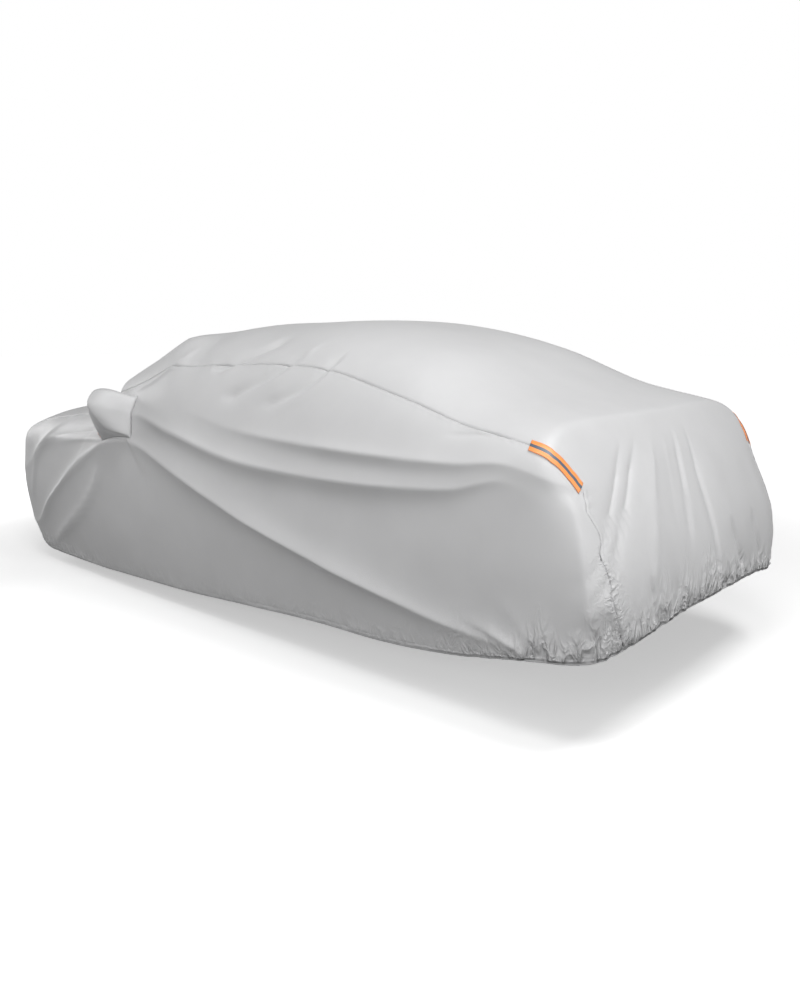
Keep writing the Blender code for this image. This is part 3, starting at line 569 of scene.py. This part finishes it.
def sheetPiece(name, blocks, made, thick, gathers=None):
    # A thin sheet through blocks of grid rows, its thickness outwards. gathers says for each point
    # how much the seam and the hem crinkle the cloth there, kept as the sheet's own UVs.
    points = np.concatenate([b.reshape(-1, 3) for b in blocks])
    faces = blockFaces([b.shape[:2] for b in blocks])
    used = np.zeros(len(points), bool)
    used[[k for f in faces for k in f]] = True
    number = np.cumsum(used) - 1
    sample = np.array([points[list(f[:3])] for f in faces[::50]])
    facing = np.cross(sample[:, 1] - sample[:, 0], sample[:, 2] - sample[:, 0])
    outward = (facing * (sample.mean(axis=1) - inside)).sum() > 0
    mesh = bpy.data.meshes.new(name)
    mesh.from_pydata([tuple(p) for p in points[used]], [],
                     [tuple(int(number[k]) for k in (f if outward else f[::-1])) for f in faces])
    if gathers is not None:
        values = np.concatenate([g.reshape(-1, 2) for g in gathers])[used]
        corners = np.empty(len(mesh.loops), dtype=np.int32)
        mesh.loops.foreach_get("vertex_index", corners)
        mesh.uv_layers.new(name="gathers").data.foreach_set("uv", values[corners].ravel())
    mesh.materials.append(made)
    mesh.shade_smooth()
    piece = bpy.data.objects.new(name, mesh)
    bpy.context.scene.collection.objects.link(piece)
    solid = piece.modifiers.new("thickness", "SOLIDIFY")
    solid.thickness = thick
    solid.offset = 1
    solid.use_even_offset = False
    return piece


def newGroup(name, inputs, outputs):
    tree = bpy.data.node_groups.new(name, "ShaderNodeTree")
    for label, kind, value in inputs:
        socket = tree.interface.new_socket(label, in_out="INPUT", socket_type=kind)
        if value is not None:
            socket.default_value = value
    for label, kind in outputs:
        tree.interface.new_socket(label, in_out="OUTPUT", socket_type=kind)
    return tree, tree.nodes.new("NodeGroupInput"), tree.nodes.new("NodeGroupOutput")


# Crinkles: their strength's socket, the sheet's UV that drives it, the noise's stretch and its scale.
crinkles = (("Seam Crinkle", "X", (1, 1, 1.3), 32.0), ("Hem Crinkle", "Y", (1, 1, 0.40), 27.0))
creaseNoise = {"Detail": 2.0, "Roughness": 0.5, "Distortion": 0.6, "Offset": 1.0, "Gain": 1.5}


def weaveGroup():
    # A fine plain weave under a coating, with faint cloudy wear of the colour.
    colour, number = "NodeSocketColor", "NodeSocketFloat"
    tree, given, put = newGroup(
        "coatedWeave",
        [("Colour", colour, (0.5, 0.5, 0.5, 1)), ("Worn Colour", colour, (0.4, 0.4, 0.4, 1)),
         ("Thread", number, 700.0), ("Cloud", number, 5.0), ("Roughness", number, 0.5),
         ("Roughness Change", number, 0.06), ("Relief", number, 0.00006),
         ("Seam Crinkle", number, 0.0), ("Hem Crinkle", number, 0.0)],
        [("Colour", colour), ("Roughness", number), ("Height", number)])
    nodes, links = tree.nodes, tree.links
    place = nodes.new("ShaderNodeTexCoord")
    bands = []
    for direction in ("X", "Z"):
        wave = nodes.new("ShaderNodeTexWave")
        wave.bands_direction = direction
        wave.inputs["Distortion"].default_value = 1.0
        wave.inputs["Detail"].default_value = 0
        links.new(place.outputs["Object"], wave.inputs["Vector"])
        links.new(given.outputs["Thread"], wave.inputs["Scale"])
        bands.append(wave)
    woven = nodes.new("ShaderNodeMath")
    woven.operation = "MULTIPLY"
    links.new(bands[0].outputs["Fac"], woven.inputs[0])
    links.new(bands[1].outputs["Fac"], woven.inputs[1])
    cloud = nodes.new("ShaderNodeTexNoise")
    cloud.inputs["Detail"].default_value = 4
    links.new(place.outputs["Object"], cloud.inputs["Vector"])
    links.new(given.outputs["Cloud"], cloud.inputs["Scale"])
    spread = nodes.new("ShaderNodeMapRange")
    spread.inputs["From Min"].default_value = 0.35
    spread.inputs["From Max"].default_value = 0.65
    links.new(cloud.outputs["Fac"], spread.inputs["Value"])
    mix = nodes.new("ShaderNodeMix")
    mix.data_type = "RGBA"
    links.new(spread.outputs["Result"], mix.inputs[0])
    links.new(given.outputs["Colour"], mix.inputs[6])
    links.new(given.outputs["Worn Colour"], mix.inputs[7])
    change = nodes.new("ShaderNodeMath")
    change.operation = "MULTIPLY_ADD"
    links.new(spread.outputs["Result"], change.inputs[0])
    links.new(given.outputs["Roughness Change"], change.inputs[1])
    links.new(given.outputs["Roughness"], change.inputs[2])
    # Crinkles where the seam and the elastic draw the cloth in, as strong as the sheet's UVs say.
    gather = nodes.new("ShaderNodeUVMap")
    gather.uv_map = "gathers"
    strong = nodes.new("ShaderNodeSeparateXYZ")
    links.new(gather.outputs["UV"], strong.inputs["Vector"])
    total = nodes.new("ShaderNodeMath")
    total.operation = "MULTIPLY"
    links.new(woven.outputs[0], total.inputs[0])
    links.new(given.outputs["Relief"], total.inputs[1])
    for label, where, stretch, size in crinkles:
        squeeze = nodes.new("ShaderNodeVectorMath")
        squeeze.operation = "MULTIPLY"
        squeeze.inputs[1].default_value = stretch
        links.new(place.outputs["Object"], squeeze.inputs[0])
        creases = nodes.new("ShaderNodeTexNoise")
        creases.noise_type = "RIDGED_MULTIFRACTAL"
        creases.normalize = False
        creases.inputs["Scale"].default_value = size
        for socket, value in creaseNoise.items():
            creases.inputs[socket].default_value = value
        links.new(squeeze.outputs[0], creases.inputs["Vector"])
        depth = nodes.new("ShaderNodeMath")
        depth.operation = "MULTIPLY"
        links.new(strong.outputs[where], depth.inputs[0])
        links.new(given.outputs[label], depth.inputs[1])
        raised = nodes.new("ShaderNodeMath")
        raised.operation = "MULTIPLY_ADD"
        links.new(creases.outputs["Fac"], raised.inputs[0])
        links.new(depth.outputs[0], raised.inputs[1])
        links.new(total.outputs[0], raised.inputs[2])
        total = raised
    links.new(mix.outputs[2], put.inputs["Colour"])
    links.new(change.outputs[0], put.inputs["Roughness"])
    links.new(total.outputs[0], put.inputs["Height"])
    return tree


weave = weaveGroup()
clothLook = {"colour": (0.60, 0.60, 0.605, 1), "worn": (0.575, 0.575, 0.58, 1), "roughness": 0.48,
             "sheen": 0.25, "thread": 900.0, "cloud": 3.5, "relief": 0.00006, "seam": 0.004, "hem": 0.018}
orangeLook = {"colour": (1.0, 0.36, 0.12, 1), "worn": (1.0, 0.30, 0.07, 1), "roughness": 0.45,
              "sheen": 0.1, "thread": 1400.0, "cloud": 14.0, "relief": 0.00004}
greyLook = {"colour": (0.13, 0.17, 0.21, 1), "worn": (0.10, 0.13, 0.17, 1), "roughness": 0.4,
            "sheen": 0.0, "thread": 1800.0, "cloud": 20.0, "relief": 0.00002}
threadLook = {"colour": (0.42, 0.42, 0.43, 1), "worn": (0.36, 0.36, 0.37, 1), "roughness": 0.6,
              "sheen": 0.1, "thread": 3000.0, "cloud": 9.0, "relief": 0.00002}


def wovenMaterial(name, look):
    made = bpy.data.materials.new(name)
    made.use_nodes = True
    nodes, links = made.node_tree.nodes, made.node_tree.links
    shader = nodes["Principled BSDF"]
    shader.inputs["Sheen Weight"].default_value = look["sheen"]
    shader.inputs["Sheen Roughness"].default_value = 0.4
    group = nodes.new("ShaderNodeGroup")
    group.node_tree = weave
    for label, key in (("Colour", "colour"), ("Worn Colour", "worn"), ("Thread", "thread"), ("Cloud", "cloud"),
                       ("Roughness", "roughness"), ("Relief", "relief"), ("Seam Crinkle", "seam"),
                       ("Hem Crinkle", "hem")):
        group.inputs[label].default_value = look.get(key, 0)
    bump = nodes.new("ShaderNodeBump")
    bump.inputs["Distance"].default_value = 1
    bump.inputs["Strength"].default_value = 1
    links.new(group.outputs["Height"], bump.inputs["Height"])
    links.new(bump.outputs["Normal"], shader.inputs["Normal"])
    links.new(group.outputs["Colour"], shader.inputs["Base Color"])
    links.new(group.outputs["Roughness"], shader.inputs["Roughness"])
    return made


silver = wovenMaterial("silver_cloth", clothLook)
orange = wovenMaterial("orange_reflective", orangeLook)
greyTape = wovenMaterial("grey_reflective", greyLook)
thread = wovenMaterial("grey_thread", threadLook)

# The sheets' thickness and their rows and columns. The rows lie closer at the hem, the long folds and
# the seam, and the top's columns are as many times finer on its two ends.
grids = {"thick": 0.0008, "sideColumns": 641, "sideRows": 112, "fineRows": 12, "seamRows": 8,
         "topColumns": 48, "topFiner": 4, "topSpread": 1.2, "roofRows": 470, "roofPlain": 0.962,
         "frontRows": 38, "rearRows": 58}
sideMarks = [(1, 0.06, 4.5), (2, 0.06, 4.5), (3, 0.06, 4.5), (0, 0.12, 4.0), (4, 0.05, 4.0)]
frontMarks = [(0, 0.25, 3.0), (4, 0.2, 0.6)]
rearMarks = [(0, 0.25, 3.0), (4, 0.5, 1.0)]


def sideCloth(hand, lines):
    levels = denser(grids["sideRows"], 0, 4, sideMarks)
    shares = evenShares(grids["sideColumns"])
    cloth = drape(sideGuides(lines, levels, shares) * (1, hand, 1))
    out = normals(cloth)
    seam = np.broadcast_to(cloth[-1:], cloth.shape)
    nearest = lengthFrom(cloth, -1, 0)
    height = sewn(nearest, seam)
    for edge in (0, -1):
        seam = np.broadcast_to(cloth[:, [edge]], cloth.shape)
        away = lengthFrom(cloth, edge, 1)
        height = height + sewn(away, seam)
        nearest = np.minimum(nearest, away)
    height += stitchedHem(lengthFrom(cloth, 0, 0))
    return cloth + out * height[..., None], gathered(cloth, nearest, lengthFrom(cloth, 0, 0))


def sidePiece(label, cloth, gathers):
    fine, last, steps = grids["fineRows"], len(cloth) - grids["seamRows"], hemForm["steps"]
    blocks = [rolled(cloth, 0)[:fine + steps], cloth[fine:last, ::2], cloth[last:]]
    hem = np.concatenate([np.repeat(gathers[:1], steps, axis=0), gathers[:fine]])
    return sheetPiece("side_cloth_" + label, blocks, silver, grids["thick"],
                      [hem, gathers[fine:last, ::2], gathers[last:]])


def topCloth():
    spread = grids["topSpread"]
    across = np.linspace(1, -1, grids["topColumns"] * grids["topFiner"] + 1)
    across = np.tanh(spread * across) / np.tanh(spread)
    front = denser(grids["frontRows"], 0, 4, frontMarks)[:-1]
    rear = denser(grids["rearRows"], 0, 4, rearMarks)[::-1][1:]
    cloth = drape(topGuides(front, evenShares(grids["roofRows"]), rear, across))
    out = normals(cloth)
    height, aways = 0, []
    for edge in (0, -1):
        seam = np.broadcast_to(cloth[:, [edge]], cloth.shape)
        aways.append(lengthFrom(cloth, edge, 1))
        height = height + sewn(aways[-1], seam)
    hems = [lengthFrom(cloth, edge, 0) for edge in (0, -1)]
    height += stitchedHem(hems[0]) + stitchedHem(hems[1])
    return cloth + out * height[..., None], gathered(cloth, np.minimum(*aways), np.minimum(*hems))


def topPiece(cloth, gathers):
    finer, steps = grids["topFiner"], hemForm["steps"]
    front = grids["frontRows"] - 1
    roofEnd = front + int(grids["roofRows"] * grids["roofPlain"])
    full = rolled(rolled(cloth, 0), -1)
    blocks = [full[:front + steps], cloth[front:roofEnd, ::finer], full[roofEnd + steps:]]
    marks = np.concatenate([np.repeat(gathers[:1], steps, axis=0), gathers,
                            np.repeat(gathers[-1:], steps, axis=0)])
    return sheetPiece("top_cloth", blocks, silver, grids["thick"],
                      [marks[:front + steps], gathers[front:roofEnd, ::finer], marks[roofEnd + steps:]])


top, topGathers = topCloth()
topSheet = topPiece(top, topGathers)
sides, sideSheets = {}, {}
for hand, label, lines in ((1, "left", leftLines), (-1, "right", rightLines)):
    sides[hand], gathers = sideCloth(hand, lines)
    sideSheets[hand] = sidePiece(label, sides[hand], gathers)
print("cloth:", len(topSheet.data.polygons), *[len(s.data.polygons) for s in sideSheets.values()])

# The mirror pockets: their grid, how far they clear the side, their hem and the depth of their creases.
pocketForm = {"along": 72, "round": 84, "clear": 0.0012, "hem": 0.0035, "crease": 0.0016}


def pocketCloth(hand, lines):
    a = np.linspace(0, 1, pocketForm["along"] + 1)
    b = np.linspace(0, 1, pocketForm["round"] + 1)
    levels = np.interp(b * 8, range(9), pocketRows)
    ground = sideGuides(lines, levels, (4 + a) / 13) * (1, hand, 1)
    foot = drape(ground)
    out = normals(foot)
    foot = foot + out * (grids["thick"] + pocketForm["clear"])
    a, b = a[None, :], b[:, None]
    reach = through(pocketAlong["share"], pocketAlong["reach"], a)
    lift = through(pocketAlong["share"], pocketAlong["lift"], a)
    foot[..., 1] += hand * reach * through(pocketRound["share"], pocketRound["reach"], b)
    foot[..., 2] += lift * through(pocketRound["share"], pocketRound["lift"], b)
    out = normals(foot)
    edge = np.minimum(np.minimum(a, 1 - a), np.minimum(b, 1 - b))
    wave = bumps(foot, (0.028, 0.028, 0.028), 41 + hand) * np.exp(-edge / 0.10)
    slack = bumps(foot, (0.11, 0.11, 0.05), 44 + hand)
    height = pocketForm["crease"] * (wave + slack) * np.minimum(edge / 0.04, 1)
    return foot + out * height[..., None]


pockets, pocketSheets = {}, {}
for hand, label, lines in ((1, "left", leftLines), (-1, "right", rightLines)):
    pockets[hand] = pocketCloth(hand, lines)
    pocketSheets[hand] = sheetPiece("pocket_cloth_" + label, [pockets[hand]], silver, grids["thick"])
print("pockets:", [len(s.data.polygons) for s in pocketSheets.values()])

# The reflective strips: half their width and that of the grey band, and the seam's ribs between which the
# rear ones lie. Rays from a little way off find the cloth under them.
stripForm = {"half": 0.025, "band": 0.0075, "lift": 0.0008, "thick": 0.0007, "along": 64, "across": 14,
             "wavy": 0.0014, "from": 11.15, "to": 12.9, "ray": 0.05, "rayEnd": 0.12,
             "pocketColumn": 1 / 12, "pocketFrom": 0.125, "pocketTo": 0.8125}


def nearby(values, how):
    # The least or the mean over the five by five neighbours of each point.
    wide = np.pad(values, 2, mode="edge")
    rows, columns = values.shape
    return how([wide[r:r + rows, c:c + columns] for r in range(5) for c in range(5)], axis=0)


def laidStrip(name, path, aside, under):
    # A strip laid along a path on the cloth that lies under it.
    graph = bpy.context.evaluated_depsgraph_get()
    trees = [BVHTree.FromObject(sheet, graph) for sheet in under]
    count = stripForm["across"]
    share = np.linspace(-1, 1, count + 1)
    where = np.stack([np.arange(len(path)) * 0.01, 0 * path[:, 0], 0 * path[:, 0]], -1)
    width = stripForm["half"] * share[None, :] + stripForm["wavy"] * bumps(where, (0.06, 1, 1), 51)[:, None]
    grid = path[:, None] + aside[:, None] * width[..., None]
    out = np.cross(np.gradient(grid, axis=0), np.gradient(grid, axis=1))
    out /= np.linalg.norm(out, axis=-1, keepdims=True)
    out = out.mean(axis=1, keepdims=True) * np.ones_like(grid)
    out /= np.linalg.norm(out, axis=-1, keepdims=True)
    out *= np.sign((out * (grid - (grid[..., 0].mean(), 0, grid[..., 2].mean() - 0.3))).sum())
    ray, lift = stripForm["ray"], stripForm["lift"]
    away = np.full(grid.shape[:2], ray)
    for i in np.ndindex(grid.shape[:2]):
        start = Vector(grid[i] + out[i] * ray)
        hits = [tree.ray_cast(start, Vector(-out[i]), stripForm["rayEnd"])[3] for tree in trees]
        away[i] = min([h for h in hits if h is not None] or [ray])
    smooth = nearby(nearby(away, np.min), np.mean)
    grid = grid + out * (ray - np.minimum(smooth, away - lift / 2) + lift)[..., None]
    piece = sheetPiece(name, [grid], orange, stripForm["thick"])
    piece.data.materials.append(greyTape)
    band = stripForm["band"] / stripForm["half"]
    middle = np.abs((share[1:] + share[:-1]) / 2) < band
    for k, face in enumerate(piece.data.polygons):
        face.material_index = int(middle[k % count])
    return piece, grid


strips, stripGrids = {}, {}
bpy.context.view_layer.update()
for hand, label, lines in ((1, "left", leftLines), (-1, "right", rightLines)):
    where = np.linspace(stripForm["from"], stripForm["to"], stripForm["along"] + 1)
    rows = through(np.arange(len(ribs)), np.array(ribs)[:, 0:3], where)
    path = drape(rows * (1, hand, 1), False)
    inward = drape(rows * (1, hand, 1) + (0.0, -0.05 * hand, 0.05), False) - path
    inward /= np.linalg.norm(inward, axis=-1, keepdims=True)
    name = "rear_" + label
    strips[name], stripGrids[name] = laidStrip("strip_" + name, path, inward, (topSheet, sideSheets[hand]))

    pocket = pockets[hand]
    column = round(pocketForm["along"] * stripForm["pocketColumn"])
    low, high = (round(stripForm[k] * pocketForm["round"]) for k in ("pocketFrom", "pocketTo"))
    path = pocket[low:high + 1, column]
    forward = pocket[low:high + 1, column + 2] - pocket[low:high + 1, column - 2]
    forward /= np.linalg.norm(forward, axis=-1, keepdims=True)
    name = "mirror_" + label
    strips[name], stripGrids[name] = laidStrip("strip_" + name, path, forward, (pocketSheets[hand],))
print("strips:", sorted(strips))

# The stitches: their size, how far apart they are, how far each row lies from its edge, and how proud.
stitchForm = {"long": 0.0046, "thick": 0.0009, "proud": 0.3,
              "seamEvery": 0.0066, "hemEvery": 0.008, "pocketEvery": 0.0058, "stripEvery": 0.0055,
              "seamRow": 0.0065, "pocketRow": 0.006, "stripRow": 0.0035}


def stitchMesh():
    # One stitch: a short thread that dives at both ends.
    points, faces = [], []
    for along in (-0.25, 0.25):
        points += [(along * stitchForm["long"], stitchForm["thick"] * math.cos(k * math.pi / 2) / 2,
                    stitchForm["thick"] * math.sin(k * math.pi / 2) / 2) for k in range(4)]
    points += [(-stitchForm["long"] / 2, 0, 0), (stitchForm["long"] / 2, 0, 0)]
    for k in range(4):
        after = (k + 1) % 4
        faces += [(k, after, after + 4, k + 4), (after, k, 8), (k + 4, after + 4, 9)]
    mesh = bpy.data.meshes.new("stitch")
    mesh.from_pydata(points, [], faces)
    mesh.materials.append(thread)
    mesh.shade_smooth()
    made = bpy.data.objects.new("stitch", mesh)
    return made


def stitchGroup():
    # Stitches at even steps along a line of edges.
    tree = bpy.data.node_groups.new("stitching", "GeometryNodeTree")
    face = tree.interface
    face.new_socket("Geometry", in_out="INPUT", socket_type="NodeSocketGeometry")
    ports = {}
    for label, kind in (("Stitch", "NodeSocketObject"), ("Every", "NodeSocketFloat"), ("Seed", "NodeSocketInt"),
                        ("Thread", "NodeSocketMaterial")):
        ports[label] = face.new_socket(label, in_out="INPUT", socket_type=kind).identifier
    face.new_socket("Geometry", in_out="OUTPUT", socket_type="NodeSocketGeometry")
    nodes, links = tree.nodes, tree.links
    given, put = nodes.new("NodeGroupInput"), nodes.new("NodeGroupOutput")
    curve = nodes.new("GeometryNodeMeshToCurve")
    links.new(given.outputs["Geometry"], curve.inputs["Mesh"])
    sample = nodes.new("GeometryNodeCurveToPoints")
    sample.mode = "LENGTH"
    links.new(curve.outputs["Curve"], sample.inputs["Curve"])
    links.new(given.outputs["Every"], sample.inputs["Length"])
    turn = nodes.new("FunctionNodeAlignRotationToVector")
    turn.axis = "X"
    links.new(sample.outputs["Tangent"], turn.inputs["Vector"])
    size = nodes.new("FunctionNodeRandomValue")
    size.data_type = "FLOAT"
    size.inputs[2].default_value = 0.85
    size.inputs[3].default_value = 1.1
    links.new(given.outputs["Seed"], size.inputs["Seed"])
    info = nodes.new("GeometryNodeObjectInfo")
    links.new(given.outputs["Stitch"], info.inputs["Object"])
    place = nodes.new("GeometryNodeInstanceOnPoints")
    links.new(sample.outputs["Points"], place.inputs["Points"])
    links.new(info.outputs["Geometry"], place.inputs["Instance"])
    links.new(turn.outputs["Rotation"], place.inputs["Rotation"])
    links.new(size.outputs[1], place.inputs["Scale"])
    real = nodes.new("GeometryNodeRealizeInstances")
    links.new(place.outputs["Instances"], real.inputs["Geometry"])
    paint = nodes.new("GeometryNodeSetMaterial")
    links.new(real.outputs["Geometry"], paint.inputs["Geometry"])
    links.new(given.outputs["Thread"], paint.inputs["Material"])
    links.new(paint.outputs["Geometry"], put.inputs["Geometry"])
    return tree, ports


stitch = stitchMesh()
stitching, stitchPorts = stitchGroup()


def sewAlong(name, paths, seed, every):
    # Rows of stitches along paths of points.
    points = [tuple(p) for path in paths for p in path]
    starts = np.cumsum([0] + [len(path) for path in paths])
    edges = [(int(s + k), int(s + k + 1)) for s, path in zip(starts, paths) for k in range(len(path) - 1)]
    mesh = bpy.data.meshes.new(name + "_line")
    mesh.from_pydata(points, edges, [])
    line = bpy.data.objects.new(name + "_line", mesh)
    bpy.context.scene.collection.objects.link(line)
    grow = line.modifiers.new("stitching", "NODES")
    grow.node_group = stitching
    grow[stitchPorts["Stitch"]] = stitch
    grow[stitchPorts["Every"]] = stitchForm[every]
    grow[stitchPorts["Seed"]] = seed
    grow[stitchPorts["Thread"]] = thread
    bpy.context.view_layer.update()
    made = bpy.data.meshes.new_from_object(line.evaluated_get(bpy.context.evaluated_depsgraph_get()))
    made.name = name
    piece = bpy.data.objects.new(name, made)
    bpy.context.scene.collection.objects.link(piece)
    bpy.data.objects.remove(line)
    return piece


def gridLine(grid, where, axis, edge, lift):
    # A line that stays a distance from a grid's edge and lies on its outside.
    away = lengthFrom(grid, edge, axis)
    raised = grid + normals(grid) * lift
    order = np.moveaxis(raised, axis, 0)
    reach = np.moveaxis(away, axis, 0)
    if edge != 0:
        order, reach = order[::-1], reach[::-1]
    line = [[np.interp(where, reach[:, k], order[:, k, d]) for d in range(3)] for k in range(reach.shape[1])]
    return np.array(line)


sewing = []
proud = grids["thick"] + stitchForm["thick"] * stitchForm["proud"]
for hand, label in ((1, "left"), (-1, "right")):
    side, away = sides[hand], stitchForm["seamRow"]
    paths = [gridLine(side, away, 0, -1, proud), gridLine(side, away, 1, 0, proud)[4:],
             gridLine(side, away, 1, -1, proud)[4:]]
    sewing.append(sewAlong("seam_stitches_" + label, paths, 11 + hand, "seamEvery"))
    paths = [gridLine(side, hemForm["stitch"], 0, 0, proud)]
    sewing.append(sewAlong("hem_stitches_" + label, paths, 15 + hand, "hemEvery"))
    rim = [gridLine(pockets[hand], stitchForm["pocketRow"], axis, edge, proud)[3:-3]
           for axis in (0, 1) for edge in (0, -1)]
    sewing.append(sewAlong("pocket_stitches_" + label, rim, 19 + hand, "pocketEvery"))
paths = [gridLine(top, hemForm["stitch"], 0, edge, proud) for edge in (0, -1)]
sewing.append(sewAlong("hem_stitches_ends", paths, 23, "hemEvery"))
proud = stripForm["thick"] + stitchForm["thick"] * stitchForm["proud"]
for name, grid in stripGrids.items():
    edges = [gridLine(grid, stitchForm["stripRow"], 1, edge, proud) for edge in (0, -1)]
    sewing.append(sewAlong("strip_stitches_" + name, edges, 29, "stripEvery"))
print("sewing:", [len(s.data.polygons) for s in sewing])

# Every piece takes its node's place in the frame and rides on its one body.
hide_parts("top_panel")
for hand, label in ((1, "left"), (-1, "right")):
    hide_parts("side_panel_" + label)
    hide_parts("mirror_pocket_" + label)
    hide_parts("reflective_strip_rear_" + label)
    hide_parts("reflective_strip_mirror_" + label)
for piece in [topSheet, *sideSheets.values(), *pocketSheets.values(), *strips.values(), *sewing]:
    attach(piece, "root")

# The paper floor as the camera sees it, as it lights the cloth, and its own glow.
studio = {"floor": 0.80, "bounce": 0.12, "glow": 0.42, "fadeFrom": 2.2, "fadeTo": 6.0, "sky": 0.05}
mesh = bpy.data.meshes.new("floor")
mesh.from_pydata([(-40, -40, 0), (40, -40, 0), (40, 40, 0), (-40, 40, 0)], [], [(0, 1, 2, 3)])
floor = bpy.data.objects.new("floor", mesh)
bpy.context.scene.collection.objects.link(floor)
floor.location = (0, 0, -origin[2])
paper = bpy.data.materials.new("paper")
paper.use_nodes = True
nodes, links = paper.node_tree.nodes, paper.node_tree.links
shader, out = nodes["Principled BSDF"], nodes["Material Output"]
shader.inputs["Roughness"].default_value = 0.9
shader.inputs["Specular IOR Level"].default_value = 0.1
path = nodes.new("ShaderNodeLightPath")
tone = nodes.new("ShaderNodeMix")
tone.data_type = "RGBA"
tone.inputs[6].default_value = (studio["bounce"],) * 3 + (1,)
tone.inputs[7].default_value = (studio["floor"],) * 3 + (1,)
links.new(path.outputs["Is Camera Ray"], tone.inputs[0])
links.new(tone.outputs[2], shader.inputs["Base Color"])
place = nodes.new("ShaderNodeTexCoord")
far = nodes.new("ShaderNodeVectorMath")
far.operation = "LENGTH"
links.new(place.outputs["Object"], far.inputs[0])
fade = nodes.new("ShaderNodeMapRange")
fade.interpolation_type = "SMOOTHSTEP"
fade.inputs["From Min"].default_value = studio["fadeFrom"]
fade.inputs["From Max"].default_value = studio["fadeTo"]
fade.inputs["To Min"].default_value = studio["glow"]
links.new(far.outputs["Value"], fade.inputs["Value"])
seen = nodes.new("ShaderNodeMath")
seen.operation = "MULTIPLY"
links.new(fade.outputs["Result"], seen.inputs[0])
links.new(path.outputs["Is Camera Ray"], seen.inputs[1])
shader.inputs["Emission Color"].default_value = (1, 1, 1, 1)
links.new(seen.outputs[0], shader.inputs["Emission Strength"])
links.new(shader.outputs[0], out.inputs["Surface"])
mesh.materials.append(paper)

world = bpy.data.worlds.new("studio")
bpy.context.scene.world = world
world.use_nodes = True
nodes, links = world.node_tree.nodes, world.node_tree.links
back = nodes["Background"]
back.inputs["Color"].default_value = (1, 1, 1, 1)
path = nodes.new("ShaderNodeLightPath")
choose = nodes.new("ShaderNodeMix")
choose.data_type = "FLOAT"
choose.inputs[2].default_value = studio["sky"]
choose.inputs[3].default_value = 1.0
links.new(path.outputs["Is Camera Ray"], choose.inputs[0])
links.new(choose.outputs[0], back.inputs["Strength"])

# Soft lamps: place, size and power. They all look at one point.
lampsAim = (0.3, 0.0, -0.8)
lamps = {
    "rear_steep": ((-3.4, 0.0, 4.0), 1.8, 154),
    "rear_left_steep": ((-2.2, 2.6, 4.0), 1.8, 104),
    "rear_left_high": ((-4.5, 4.0, 3.0), 2.0, 39),
    "rear_left_low": ((-5.5, 4.5, 0.3), 2.0, 85),
    "rear_low": ((-7.0, -1.0, 0.2), 2.5, 76),
    "left_low": ((0.5, 6.5, 0.6), 3.0, 120),
    "front_low": ((7.0, 2.0, 0.6), 2.5, 118),
}
for name, (place, size, power) in lamps.items():
    light = bpy.data.lights.new(name, "AREA")
    light.size = size
    light.energy = power
    made = bpy.data.objects.new(name, light)
    bpy.context.scene.collection.objects.link(made)
    made.location = place
    made.rotation_euler = (Vector(lampsAim) - Vector(place)).to_track_quat("-Z", "Y").to_euler()
    made.visible_camera = False

view = {"place": (-3.239, 3.3355, -0.02556), "turn": -0.8428, "down": 0.1987, "lens": 30.96}
camera = bpy.data.cameras.new("camera")
camera.lens = view["lens"]
camera.sensor_width = 36
eye = bpy.data.objects.new("camera", camera)
bpy.context.scene.collection.objects.link(eye)
eye.location = view["place"]
look = Vector((math.cos(view["down"]) * math.cos(view["turn"]),
               math.cos(view["down"]) * math.sin(view["turn"]), -math.sin(view["down"])))
eye.rotation_euler = look.to_track_quat("-Z", "Y").to_euler()
bpy.context.scene.camera = eye
bpy.context.scene.view_settings.view_transform = "Standard"
